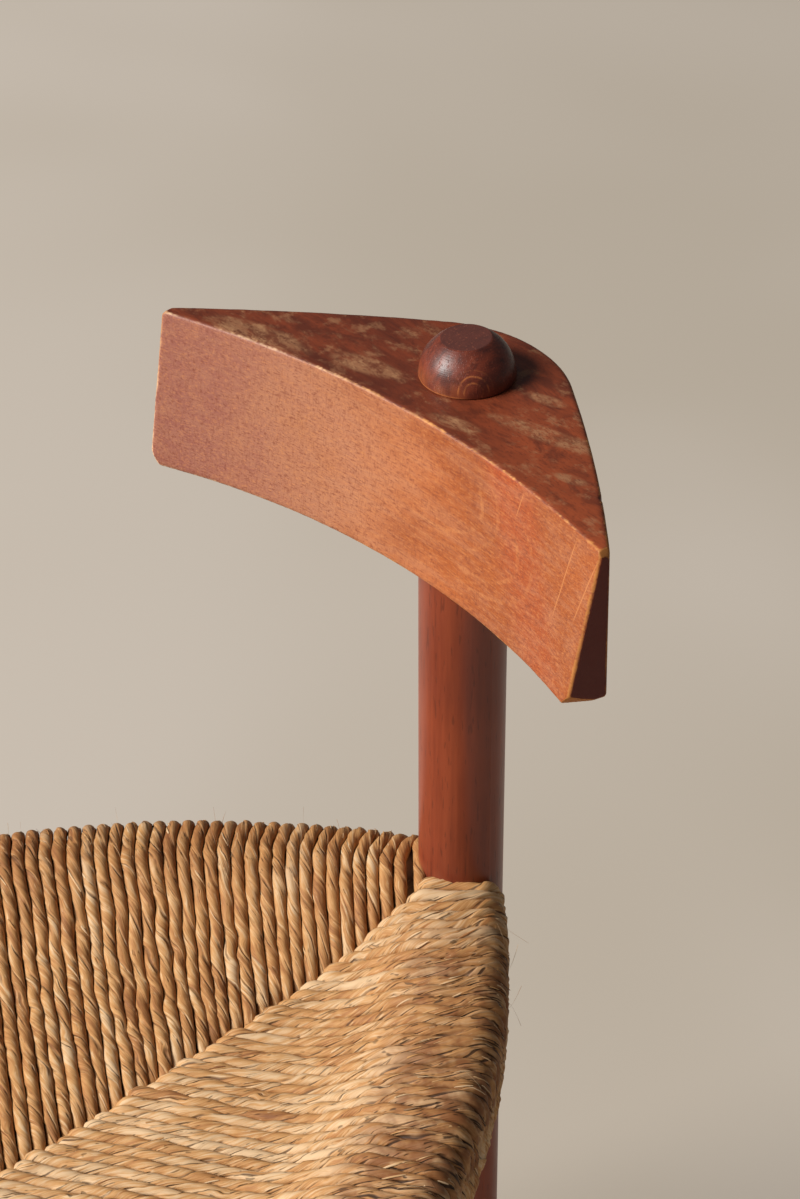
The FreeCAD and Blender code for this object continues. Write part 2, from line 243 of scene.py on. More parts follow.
class FinishGraph(Graph):
    """The nodes of one material."""

    def __init__(self, name: str) -> None:
        """Starts the material."""
        self.material = bpy.data.materials.new(name)
        self.material.use_nodes = True
        self.material.node_tree.nodes.clear()
        super().__init__(self.material.node_tree)

    def place(self) -> Direction:
        """Where a point of the surface is, in metres."""
        return self.direction("ShaderNodeTexCoord", output="Object")

    def facing(self) -> Direction:
        """The surface's normal."""
        return self.direction("ShaderNodeNewGeometry", output="Normal")

    def attribute(self, name: str) -> Value:
        """A number that the mesh carries under a name."""
        return self.value("ShaderNodeAttribute", output="Fac", attribute_name=name)

    def layered(self, colour: Value | Colour, *layers: tuple[Value | float, Value | Colour]) -> Value:
        """A colour with others laid over it.

        Args:
            colour: the lowest one.
            layers: how far each next one covers what is below it, from 0 to 1, and its colour.

        Returns:
            The colour.
        """
        for share, over in layers:
            values = {"Factor": share, "A": colour, "B": over}
            colour = self.value("ShaderNodeMix", values, "Result", data_type="RGBA", clamp_factor=True)
        return colour

    def finish(
        self,
        colour: Value,
        roughness: Value | float,
        relief: Value | None = None,
        depth: float = 0.0,
        constants: dict[str, float] | None = None,
    ) -> bpy.types.Material:
        """Closes the material with a Principled shader.

        Args:
            colour: its colour.
            roughness: its roughness.
            relief: the height of its surface, from 0 to 1, if it has one.
            depth: what 1 of that height stands for, in metres.
            constants: what else the shader's own sockets are set to.

        Returns:
            The material.
        """
        values = {"Base Color": colour, "Roughness": roughness, **(constants or {})}
        if relief is not None:
            bump = {"Height": relief, "Distance": depth, "Strength": 1.0}
            values["Normal"] = self.value("ShaderNodeBump", bump, "Normal")
        shader = self.value("ShaderNodeBsdfPrincipled", values, "BSDF")
        self.node("ShaderNodeOutputMaterial", {"Surface": shader})
        return self.material


class ShapeGraph(Graph):
    """A Geometry Nodes tree that turns lines into a finished piece."""

    def __init__(self, name: str, sizes: dict[str, float | int]) -> None:
        """Starts the tree.

        Args:
            name: its name.
            sizes: its named inputs and their values.
        """
        super().__init__(bpy.data.node_groups.new(name, "GeometryNodeTree"))
        face = self.tree.interface
        kinds = {size: "Int" if isinstance(number, int) else "Float" for size, number in sizes.items()}
        self.sizes = sizes
        self.keys = {
            key: face.new_socket(key, in_out="INPUT", socket_type=f"NodeSocket{kind}").identifier
            for key, kind in {"Geometry": "Geometry", **kinds, "Material": "Material"}.items()
        }
        face.new_socket("Geometry", in_out="OUTPUT", socket_type="NodeSocketGeometry")
        self.entry = self.node("NodeGroupInput")

    def given(self, name: str) -> Value:
        """A named input of the tree."""
        return Value(self, self.entry.outputs[name])

    def named(self, name: str) -> Value:
        """A number that the mesh carries under a name."""
        return self.value("GeometryNodeInputNamedAttribute", {"Name": name}, data_type="FLOAT")

    def outward(self) -> Direction:
        """The outward direction that the mesh carries."""
        values = {"Name": "outward"}
        return self.direction("GeometryNodeInputNamedAttribute", values, data_type="FLOAT_VECTOR")

    def position(self) -> Direction:
        """Where a point is."""
        return self.direction("GeometryNodeInputPosition")

    def held(self, geometry: Value, kept: Value) -> tuple[Value, Value]:
        """Keeps a field's value at each point, whatever happens to the points next.

        Args:
            geometry: the points.
            kept: the field.

        Returns:
            The geometry, and what was kept.
        """
        node = self.node("GeometryNodeCaptureAttribute")
        node.capture_items.new("VECTOR" if isinstance(kept, Direction) else "FLOAT", "Kept")
        self.tree.links.new(geometry.socket, node.inputs["Geometry"])
        self.tree.links.new(kept.socket, node.inputs[1])
        return Value(self, node.outputs["Geometry"]), type(kept)(self, node.outputs[1])

    def as_curve(self, mesh: Value) -> Value:
        """A mesh's edges as curves."""
        return self.value("GeometryNodeMeshToCurve", {"Mesh": mesh})

    def moved(self, geometry: Value, place: Direction) -> Value:
        """Geometry with its points at new places."""
        return self.value("GeometryNodeSetPosition", {"Geometry": geometry, "Position": place})

    def swept(self, lines: Value, ring: Value, capped: bool = False) -> Value:
        """A body along each line, with a ring as its section, as wide as the line's points say."""
        values = {"Curve": lines, "Profile Curve": ring, "Scale": self.named("half_width")}
        return self.value("GeometryNodeCurveToMesh", {**values, "Fill Caps": capped})

    def marked(self, geometry: Value, strip: Direction) -> Value:
        """Geometry that carries the places around and along its strand, which its finish reads."""
        values = {"Geometry": geometry, "Name": "strand", "Value": strip}
        return self.value("GeometryNodeStoreNamedAttribute", values, data_type="FLOAT2", domain="CORNER")

    def finish(self, geometry: Value) -> None:
        """Closes the tree with smooth, real geometry in the tree's material."""
        shaded = self.value("GeometryNodeSetShadeSmooth", {"Geometry": geometry})
        real = self.value("GeometryNodeRealizeInstances", {"Geometry": shaded})
        dressed = {"Geometry": real, "Material": self.given("Material")}
        self.node("NodeGroupOutput", {"Geometry": self.value("GeometryNodeSetMaterial", dressed)})

    def make(self, name: str, source: bpy.types.Mesh, material: bpy.types.Material) -> bpy.types.Object:
        """Runs the tree on a mesh.

        Args:
            name: the new piece's name.
            source: the mesh that it starts from.
            material: what the piece is dressed in.

        Returns:
            The piece, with a plain mesh and no modifier.
        """
        holder = new_object(name + "_source", source)
        modifier = holder.modifiers.new("Shape", "NODES")
        modifier.node_group = self.tree
        for key, given in {**self.sizes, "Material": material}.items():
            modifier[self.keys[key]] = given
        mesh = settled(holder)
        mesh.name = name
        for working in SHAPE_ONLY:
            if working in mesh.attributes:
                mesh.attributes.remove(mesh.attributes[working])
        return new_object(name, mesh)


# Meshes


def new_object(name: str, data: bpy.types.ID) -> bpy.types.Object:
    """An object in the scene for a mesh, a light or a camera.

    Args:
        name: its name.
        data: the mesh, light or camera.

    Returns:
        The object, at the origin.
    """
    piece = bpy.data.objects.new(name, data)
    bpy.context.scene.collection.objects.link(piece)
    return piece


def settled(holder: bpy.types.Object) -> bpy.types.Mesh:
    """The plain mesh that an object's modifier makes. The object itself is removed."""
    mesh = bpy.data.meshes.new_from_object(holder.evaluated_get(bpy.context.evaluated_depsgraph_get()))
    bpy.data.objects.remove(holder)
    return mesh


def add_values(mesh: bpy.types.Mesh, name: str, values: np.ndarray) -> None:
    """Gives each vertex of a mesh a number or a vector.

    Args:
        mesh: the mesh.
        name: what the values are called.
        values: one row a vertex.
    """
    kind, key = ("FLOAT_VECTOR", "vector") if values.ndim == 2 else ("FLOAT", "value")
    mesh.attributes.new(name, kind, "POINT").data.foreach_set(key, values.astype(np.float32).ravel())


def smooth(mesh: bpy.types.Mesh) -> None:
    """Shades a mesh smooth."""
    mesh.polygons.foreach_set("use_smooth", [True] * len(mesh.polygons))


def unit(vectors: np.ndarray) -> np.ndarray:
    """Vectors, one row each, at a length of 1."""
    return vectors / np.linalg.norm(vectors, axis=-1, keepdims=True)


def eased(values: np.ndarray, low: float, high: float) -> np.ndarray:
    """A smooth step.

    Args:
        values: where it is read.
        low: where it is 0.
        high: where it is 1; it may be less than low, for a step down.

    Returns:
        0 to 1.
    """
    share = np.clip((values - low) / (high - low), 0.0, 1.0)
    return share * share * (3 - 2 * share)


def rotated(points: np.ndarray, angle: float, centre: tuple[float, float] = (0.0, 0.0)) -> np.ndarray:
    """Points turned about an upright axis.

    Args:
        points: one row each, of two or three parts.
        angle: the turn in radians.
        centre: where the axis is.

    Returns:
        The turned points.
    """
    turned = points.copy()
    x, y = points[..., 0] - centre[0], points[..., 1] - centre[1]
    turned[..., 0] = centre[0] + x * math.cos(angle) - y * math.sin(angle)
    turned[..., 1] = centre[1] + x * math.sin(angle) + y * math.cos(angle)
    return turned


def pushed_off(plan: np.ndarray, leg: np.ndarray, clear: np.ndarray | float) -> np.ndarray:
    """Plan points with those too near a leg moved straight out to a clear distance from its axis."""
    gap = np.linalg.norm(plan - leg, axis=-1, keepdims=True)
    return np.where(gap < clear, leg + (plan - leg) / gap * clear, plan)


def line_mesh(lines: list[Rows], own: Rows, turn: float, centre: tuple[float, float]) -> bpy.types.Mesh:
    """Lines as one mesh of edges whose vertices carry their values, turned about an upright axis.

    Args:
        lines: each line's points, outward directions and other values, one row a point.
        own: values with one row a line.
        turn: the turn in radians.
        centre: where the axis is.

    Returns:
        The mesh.
    """
    counts = [len(line["points"]) for line in lines]
    starts = np.cumsum([0, *counts])
    edges = [(at, at + 1) for start, count in zip(starts, counts) for at in range(start, start + count - 1)]
    values = {key: np.concatenate([line[key] for line in lines]) for key in lines[0]}
    values |= {key: np.repeat(rows, counts) for key, rows in own.items()}
    values["outward"] = rotated(values["outward"], turn)
    mesh = bpy.data.meshes.new("lines")
    mesh.from_pydata(rotated(values.pop("points"), turn, centre).tolist(), edges, [])
    for key, rows in values.items():
        add_values(mesh, key, rows)
    return mesh


def dress(piece: bpy.types.Object, material: bpy.types.Material) -> None:
    """Gives a piece one material in place of what it has."""
    piece.data.materials.clear()
    piece.data.materials.append(material)


def hand_over(piece: bpy.types.Object, node: str) -> None:
    """Ties a finished piece to the frame and reports it.

    Args:
        piece: the piece.
        node: the CAD node that it stands for.
    """
    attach(piece, BODY)
    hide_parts(node)
    triangles = sum(len(face.vertices) - 2 for face in piece.data.polygons)
    LOG.info("%s: %d triangles", piece.name, triangles)


# Finishes


@dataclass(frozen=True)
class StainedBeech:
    """Red-brown stained and lacquered beech whose grain runs upwards."""

    dark: Colour = (0.17, 0.030, 0.013)
    light: Colour = (0.33, 0.066, 0.024)
    pore: Colour = (0.075, 0.016, 0.009)

    def material(self) -> bpy.types.Material:
        """The material."""
        graph = FinishGraph("stained_beech")
        place = graph.place()
        grain = graph.noise(place * (1.0, 1.0, 0.045), 420.0, 4.0, 0.6)
        bands = graph.noise(place * (1.0, 1.0, 0.10), 70.0, 3.0, 0.5, 0.4)
        clouds = graph.noise(place, 14.0, 3.0)
        flecks = graph.noise(place * (1.0, 1.0, 0.12), 900.0, 1.0).rise(0.62, 0.72)
        share = (grain * 0.35 + bands * 0.35 + clouds * 0.5 - 0.10).rise(0.25, 0.75)
        colour = graph.layered(self.dark, (share, self.light), (flecks * 0.45, self.pore))
        roughness = graph.noise(place, 45.0, 3.0) * 0.16 + grain * 0.08 + 0.30
        relief = grain * 0.6 + flecks * -0.5
        return graph.finish(colour, roughness, relief, 0.00006, {"Coat Weight": 0.08, "Coat Roughness": 0.3})


@dataclass(frozen=True)
class WornBeech:
    """Stained beech, worn through to the pale wood along the edges and in patches on top. All in metres.

    A patch of the top has a middle in x and y, and half lengths along and across the block. A scratch on
    the front has its x at half height, the x that it gains per metre of height, and its lowest and highest
    z. Each ring place is the middle of some growth rings on the front.
    """

    stain: Colour = (0.455, 0.119, 0.025)
    stain_dark: Colour = (0.31, 0.075, 0.018)
    # the mauve and the beige over the front's left and middle are painted sheen; the beige also colours pale
    # flecks
    mauve_sheen: Colour = (0.295, 0.104, 0.076)
    beige_and_sheen: Colour = (0.455, 0.212, 0.117)
    red: Colour = (0.42, 0.066, 0.017)
    fleck: Colour = (0.19, 0.042, 0.018)
    glow: Colour = (0.62, 0.25, 0.085)
    top: Colour = (0.255, 0.053, 0.021)
    top_dark: Colour = (0.095, 0.022, 0.012)
    top_warm: Colour = (0.40, 0.084, 0.027)
    top_worn: Colour = (0.40, 0.195, 0.095)
    edge: Colour = (0.76, 0.34, 0.095)
    bare: Colour = (0.86, 0.62, 0.40)
    tip: Colour = (0.38, 0.125, 0.024)
    end: Colour = (0.105, 0.009, 0.005)
    nick: Place = (0.0966, 0.1976, 0.6795)
    half_height: float = 0.65
    band_x: float = 0.078
    ring_places: tuple[Place, ...] = ((0.047, 0.178, 0.649), (0.023, 0.187, 0.658))
    patches: tuple[tuple[float, float, float, float], ...] = (
        (0.0235, 0.1890, 0.011, 0.0040),
        (0.0520, 0.2095, 0.024, 0.0050),
        (0.0345, 0.2262, 0.008, 0.0035),
        (-0.0300, 0.1905, 0.016, 0.0060),
        (-0.0760, 0.1735, 0.022, 0.0070),
        (0.0800, 0.1960, 0.007, 0.0030),
    )
    scratches: tuple[tuple[float, float, float, float], ...] = (
        (0.1020, 0.17, 0.640, 0.678),
        (0.1140, 0.27, 0.645, 0.678),
        (0.0669, 0.20, 0.664, 0.679),
    )

    def scratched(self, x: Value, z: Value, drift: Value) -> Value:
        """The fine scratches on the front.

        Args:
            x: where a point is from left to right.
            z: how high it is.
            drift: slow noise that bends them.

        Returns:
            1 on a scratch, 0 away from all.
        """
        fields = []
        for start, slope, low, high in self.scratches:
            off = (x - start - (z - self.half_height) * slope + drift * 0.0015).size()
            fields.append(off.rise(0.00040, 0.00010) * z.rise(low, low + 0.008) * z.rise(high, high - 0.006))
        return sum(fields)

    def ringed(self, place: Direction, clouds: Value) -> Value:
        """The growth rings on the front.

        Args:
            place: where a point is.
            clouds: slow noise that bends them.

        Returns:
            1 on a ring, 0 between them.
        """
        fields = []
        for middle in self.ring_places:
            from_middle = (place - middle) * (0.62, 0.2, 1.0)
            away = from_middle.length()
            rings = (away * 1050.0 + clouds * 5.0).sine().rise(0.60, 0.97)
            below = from_middle.dot((1.0, 0.0, -1.0)).rise(0.0, 0.012)
            fields.append(rings * below * away.rise(0.027, 0.021) * away.rise(0.009, 0.015))
        return sum(fields)

    def patched(self, x: Value, y: Value, ragged: Value) -> Value:
        """The worn patches on the top.

        Args:
            x: where a point is from left to right.
            y: where it is from front to back.
            ragged: noise that frays their outlines.

        Returns:
            1 in the middle of a patch, 0 away from all.
        """
        fields = []
        for middle_x, middle_y, along, across in self.patches:
            off_x, off_y = (x - middle_x) / along, (y - middle_y - (x - middle_x) * 0.25) / across
            fields.append((off_x * off_x + off_y * off_y + ragged * 1.6 - 0.8).rise(1.5, 0.35))
        return sum(fields)

    def material(self) -> bpy.types.Material:
        """The material."""
        graph = FinishGraph("worn_beech")
        place = graph.place()
        x, y, z = place.parts()
        to_left, to_right = x.rise(0.0, -0.05), x.rise(0.0, 0.075)
        facing_x, _, facing_z = graph.facing().parts()
        upwards, sideways = facing_z.rise(0.55, 0.8), facing_x.size().rise(0.80, 0.92)
        grain = graph.noise(place * (0.20, 1.0, 1.0), 1550.0, 3.0, 0.65, 0.25)
        fibre = graph.noise(place * (0.07, 1.0, 1.0), 330.0, 4.0, 0.65)
        clouds = graph.noise(place * (0.7, 1.0, 1.0), 26.0, 4.0, 0.6, 0.3)
        drift = clouds - 0.5
        blotches = graph.noise(place, 75.0, 4.0, 0.6, 0.4)
        dark_grain, pale_grain = grain.rise(0.53, 0.66), grain.rise(0.47, 0.36)

        # front and back; the mauve towards the left and the beige over the middle are painted sheen, a
        # reflection laid into the colour
        weave = graph.noise(place * (1.0, 1.0, 0.22), 1400.0, 2.0, 0.6)
        left = (x * -11.0 + drift * 1.6 - 0.10).rise(0.0, 1.0)
        middle = (x * -9.0 + drift * 1.2 + 0.45).rise(0.0, 1.0)
        band = (x - self.band_x + drift * 0.03 + (z - self.half_height) * 0.6).size().rise(0.024, 0.006)
        side = graph.layered(
            self.stain_dark,
            (clouds.rise(0.30, 0.70), self.stain),
            (middle * 0.75, self.beige_and_sheen),
            (left * (blotches * 1.3 + 0.25), self.mauve_sheen),
            (band * 0.95, self.red),
            ((x + drift * 0.03).rise(0.015, 0.085) * 0.65, self.stain_dark),
            ((fibre + blotches * 0.5).rise(0.62, 0.95) * 0.30, self.beige_and_sheen),
            (self.ringed(place, clouds) * blotches.rise(0.35, 0.60) * 0.30, self.glow),
            (dark_grain * 0.58, self.fleck),
            (weave.rise(0.52, 0.64) * 0.30, self.fleck),
            (pale_grain * 0.30, self.glow),
            (self.scratched(x, z, drift) * (grain + 0.2) * 0.8, self.glow),
        )

        # top
        ragged = graph.noise(place * (0.60, 1.0, 1.0), 190.0, 6.0, 0.78, 0.1)
        scatter = graph.noise(place * (0.75, 1.0, 1.0), 140.0, 5.0, 0.66, 0.15)
        scatter = (scatter + to_left * 0.025).rise(0.52, 0.68)
        worn = self.patched(x, y, ragged).rise(0.0, 1.2) * 0.85 + scatter * 0.6
        worn = worn * (ragged.rise(0.42, 0.56) * 0.8 + 0.2) * (blotches + 0.35)
        shade = graph.noise((place + (0.006, -0.004, 0.0)) * (0.5, 1.0, 1.0), 95.0, 5.0, 0.68, 0.5)
        shade = (shade + to_left * 0.03).rise(0.47, 0.63)
        over = graph.layered(
            self.top_dark,
            ((clouds * 0.9 + fibre * 0.5 - 0.25).rise(0.15, 0.75), self.top),
            (to_right * (clouds + 0.1), self.top_warm),
            (shade * (0.72 - to_right * 0.10), self.top_dark),
            (worn, self.top_worn),
            (dark_grain * 0.50, self.top_dark),
        )

        # worn edges, which are paler on the left
        uneven = graph.noise(place, 90.0, 3.0, 0.6)
        edge = graph.attribute("edge")
        wear = (edge + (uneven - 0.5) * 0.16).rise(0.055, 0.130)
        cream = (x * -9.0 + uneven * 0.9 - 0.55).rise(0.0, 0.6) * x.rise(-0.119, -0.112)
        line = graph.layered(
            self.edge,
            (cream * 0.75, self.bare),
            (x.rise(-0.110, -0.115), self.tip),
            (x.rise(0.108, 0.115) * 0.65, self.tip),
        )
        colour = graph.layered(
            side,
            (upwards, over),
            (sideways * 0.95, self.end),
            (wear * (uneven * 0.6 + 0.5), line),
            # the nick is darkened nearly black: painted shade in the dent
            ((place - self.nick).length().rise(0.0032, 0.0016) * 0.9, self.end),
        )
        worn_top = worn * upwards
        roughness = worn_top * 0.22 + edge.rise(0.02, 0.10) * 0.22 + clouds * 0.12 + sideways * 0.15 + 0.32
        relief = fibre * 0.5 + grain * 0.4 - dark_grain * 0.4 - worn_top * 0.4
        gloss = {"Specular IOR Level": 0.32, "Coat Weight": 0.04, "Coat Roughness": 0.4}
        return graph.finish(colour, roughness, relief, 0.00008, gloss)


@dataclass(frozen=True)
class DarkTurnedWood:
    """Dark maroon turned wood with a thick gloss, for the cap. Its foot is paler orange on its lit side:
    partly worn stain, partly a painted highlight.
    """

    dark: Colour = (0.060, 0.014, 0.010)
    light: Colour = (0.185, 0.034, 0.015)
    ring: Colour = (0.58, 0.19, 0.055)
    flat: Colour = (0.094, 0.027, 0.020)
    mark: Colour = (0.42, 0.120, 0.060)
    foot: Place = (0.0, 0.215031, 0.680)
    height: float = 0.017
    lit_way: tuple[float, float] = (-0.645, -0.764)
    knot: Place = (0.0157, 0.205231, 0.6830)

    def material(self) -> bpy.types.Material:
        """The material."""
        graph = FinishGraph("dark_turned_wood")
        place = graph.place()
        from_foot = place - self.foot
        z, up = place.parts()[2], from_foot.parts()[2]
        grain = graph.noise(place * (1.0, 0.35, 0.5), 380.0, 4.0, 0.65)
        clouds = graph.noise(place, 90.0, 3.0)
        scratches = graph.noise(place * (1.0, 1.0, 0.07), 1500.0, 1.0).rise(0.60, 0.70)
        marks = graph.noise(place * (1.0, 1.0, 0.25), 700.0, 3.0, 0.7).rise(0.56, 0.70)
        turning = (z * 9000.0 + grain * 3.0).sine() * 0.5 + 0.5
        low = up.rise(self.height * 0.55, 0.0)
        rim = (up + graph.noise(place, 400.0, 1.0) * 0.0008).rise(0.0019, 0.0006)
        # the side that faces the light, where the foot's orange is partly worn stain and partly painted
        # highlight
        lit_side = from_foot.dot((*self.lit_way, 0.0)).rise(-0.004, 0.010)
        on_flat = graph.facing().parts()[2].rise(0.90, 0.975)
        away = ((place - self.knot) * (0.85, 0.85, 0.75)).length()
        rings = (away * 3300.0 + clouds * 5.0 - 11.4).sine().rise(0.35, 0.98) * up.rise(0.001, 0.004)
        rings = rings * away.rise(0.0076, 0.0050) * away.rise(0.0018, 0.0030)
        colour = graph.layered(
            self.dark,
            ((grain * 0.8 + clouds * 0.4).rise(0.42, 0.78), self.light),
            (low * 0.5, self.light),
            (low * lit_side * clouds.rise(0.35, 0.65) * 0.30, self.ring),
            (rings * grain.rise(0.36, 0.60) * 0.55, self.ring),
            (rim * lit_side * 0.85, self.ring),
            (on_flat * 0.8, self.flat),
            (marks * 0.32, self.mark),
        )
        roughness = clouds * 0.16 + scratches * 0.15 + grain * 0.10 + on_flat * 0.2 + 0.27
        relief = turning * 0.15 + grain * 0.4 + scratches * 0.5 + marks * 0.3
        return graph.finish(colour, roughness, relief, 0.00006, {"Coat Weight": 0.06, "Coat Roughness": 0.36})


@dataclass(frozen=True)
class RushLeaf:
    """Dry, twisted rush leaves: long fibres, folded seams, paler and browner leaves; the seams, slits and
    nicks are darkened as painted shade.
    """

    pale: Colour = (0.68, 0.47, 0.27)
    straw: Colour = (0.56, 0.300, 0.114)
    tan: Colour = (0.43, 0.195, 0.066)
    brown: Colour = (0.25, 0.100, 0.036)
    soiled_and_shaded: Colour = (0.21, 0.068, 0.021)
    # the fold and slit colours are painted shade in creases and slits
    fold: Colour = (0.130, 0.055, 0.022)
    slit_shade: Colour = (0.045, 0.020, 0.009)
    leaves: int = 3

    def material(self) -> bpy.types.Material:
        """The material."""
        graph = FinishGraph("rush_leaf")
        around, along, _ = graph.direction("ShaderNodeUVMap", uv_map="strand").parts()
        seed, tone, grime_and_shade, torn = (graph.attribute(name) for name in ("seed", "tone", "grime_and_shade", "torn"))
        turn = around * FULL_TURN
        on_strand = graph.vector(turn.cosine() * 0.5, turn.sine() * 0.5, seed * 40.0 + along * 22.0)
        leaf = around.fraction() * float(self.leaves)
        leaf_tone = graph.noise(graph.vector(leaf.whole() * 7.3, seed * 31.0, along * 14.0), 1.0, 2.0)
        streaks = graph.noise(graph.vector(around * 15.0, along * 55.0, seed * 57.0), 1.0, 2.0, 0.6)
        fibres = graph.noise(graph.vector(around * 48.0, along * 110.0, seed * 37.0), 1.0, 2.0, 0.6)
        mottle = graph.noise(on_strand, 5.0, 4.0, 0.6)
        share = (leaf_tone - 0.5) * 1.3 + (tone - 0.5) * 1.2 + (mottle - 0.5) * 1.1
        share = share + (streaks - 0.5) * 1.2 + (fibres - 0.5) * 0.8 + 0.5
        stops = ((0.0, self.brown), (0.36, self.tan), (0.66, self.straw), (1.0, self.pale))
        worn = (graph.noise(on_strand, 9.0, 3.0, 0.6) + streaks * 0.5).rise(0.84, 0.98)
        # near the crest the rush is browned and darkened: partly real grime, partly painted shade where the
        # seat turns from the light
        browned = (graph.noise(on_strand, 2.2, 3.0, 0.6) + grime_and_shade * 0.10).rise(0.57, 0.76)
        grubby_and_shaded = graph.noise(graph.place(), 85.0, 3.0, 0.6).rise(0.38, 0.62) * grime_and_shade
        # the seams where leaves overlap, and the nicks, are darkened as painted shade in those creases and
        # slits
        edge = leaf.fraction()
        strength = graph.noise(graph.vector(leaf.whole() * 5.1, seed * 13.0, along * 75.0), 1.0, 2.0)
        seam = (edge.rise(0.86, 0.97) + edge.rise(0.07, 0.0)) * (strength + torn * 0.04).rise(0.42, 0.62)
        nicks = graph.noise(graph.vector(around * 15.0, along * 150.0, seed * 91.0), 1.0, 1.0)
        nicks = (nicks + torn * 0.06).rise(0.69, 0.75)
        colour = graph.layered(
            graph.value("ShaderNodeValToRGB", {"Fac": share}, "Color", stops=stops),
            (worn * 0.75, self.pale),
            (grime_and_shade * (mottle * 1.4 - 0.25), self.tan),
            (browned * 0.45, self.brown),
            (grubby_and_shaded * 0.85, self.soiled_and_shaded),
            (seam * 0.7, self.fold),
            (seam * torn, self.slit_shade),
            (nicks * (torn * 0.7 + 0.2), self.slit_shade),
        )
        relief = streaks * 0.5 + fibres * 0.4 + mottle * 0.3 - seam * 0.9 - nicks * 0.5
        roughness = 0.60 - worn * 0.12 + fibres * 0.1
        return graph.finish(colour, roughness, relief, 0.00050, {"Specular IOR Level": 0.3})


@dataclass(frozen=True)
class RawBeech:
    """Plain unstained beech for what the rush hides."""

    name: str = "raw_beech"
    light: Colour = (0.52, 0.34, 0.19)
    dark: Colour = (0.36, 0.21, 0.11)

    def material(self) -> bpy.types.Material:
        """The material."""
        graph = FinishGraph(self.name)
        grain = graph.noise(graph.place() * (0.3, 0.3, 1.0), 300.0, 4.0, 0.6)
        colour = graph.layered(self.dark, (grain.rise(0.3, 0.7), self.light))
        return graph.finish(colour, grain * 0.2 + 0.5, grain, 0.0001)


@dataclass(frozen=True)
class LooseRush:
    """The look of rush offcuts packed between the two layers of the seat."""

    light: Colour = (0.42, 0.29, 0.14)
    dark: Colour = (0.13, 0.075, 0.035)

    def material(self) -> bpy.types.Material:
        """The material."""
        graph = FinishGraph("loose_rush")
        place = graph.place()
        tufts = graph.noise(place, 60.0, 4.0, 0.6, 1.5)
        strands = graph.noise(place * (1.0, 0.12, 0.6), 500.0, 3.0, 0.6, 0.8)
        share = tufts * 0.6 + strands * 0.6
        colour = graph.layered(self.dark, (share.rise(0.35, 0.85), self.light))
        return graph.finish(colour, 0.8, share, 0.001)


@dataclass(frozen=True)
class PaleFloor:
    """The plain, slightly clouded warm grey of the studio floor."""

    light: Colour = (0.612, 0.549, 0.479)
    dark: Colour = (0.537, 0.474, 0.395)

    def material(self) -> bpy.types.Material:
        """The material."""
        graph = FinishGraph("pale_floor")
        clouds = graph.noise(graph.place(), 1.3, 2.0, 0.45, 0.3)
        colour = graph.layered(self.dark, (clouds.rise(0.35, 0.65), self.light))
        return graph.finish(colour, 0.9, constants={"Specular IOR Level": 0.1})


# The seat


class Side(Enum):
    """The seat's three sides, as turns of the front one in radians."""

    FRONT = 0.0
    LEFT = math.radians(120)
    RIGHT = math.radians(240)

    @property
    def label(self) -> str:
        """The side's name as the frame's nodes have it."""
        return self.name.lower()


@dataclass(frozen=True)
class StrandLook:
    """How pale, torn and uneven one side's strands are, how far they fill gaps and how deep they fold; their
    paleness differs by side as painted light.
    """

    tone: float
    tone_spread: float
    torn: float
    width_spread: float
    fill: float
    fold: float


# the left side's strands are painted paler and the right side's darker, as light and shade on one and the
# same rush
LOOKS = {
    Side.FRONT: StrandLook(tone=0.54, tone_spread=0.07, torn=0.3, width_spread=0.08, fill=0.65, fold=0.24),
    Side.LEFT: StrandLook(tone=0.67, tone_spread=0.09, torn=0.5, width_spread=0.07, fill=0.20, fold=0.34),
    Side.RIGHT: StrandLook(tone=0.52, tone_spread=0.09, torn=0.0, width_spread=0.105, fill=1.0, fold=0.21),
}


class StrandEnd(Enum):
    """How a strand ends: places past the mitre and drops in millimetres, and shares of its width."""

    OVER = (
        (-18.5, 0.0, 1.0), (-13.5, 0.0, 1.0), (-9.5, -0.5, 1.04), (-7.0, -0.5, 1.05),
        (-5.2, 0.1, 1.04), (-3.9, 1.5, 1.02), (-3.4, 3.6, 0.95), (-3.4, 8.0, 0.5),
    )
    UNDER = (
        (-18.0, 0.0, 1.0), (-13.0, 0.1, 1.0), (-8.0, 0.5, 0.99), (-4.5, 1.3, 0.95),
        (-1.0, 3.0, 0.88), (2.5, 4.9, 0.78), (6.0, 6.6, 0.5),
    )


def inwards_from(turn: np.ndarray) -> np.ndarray:
    """The plan direction square to a rail, towards the seat, where the rail has turned that far."""
    return np.stack([-np.sin(turn), np.cos(turn)], -1)


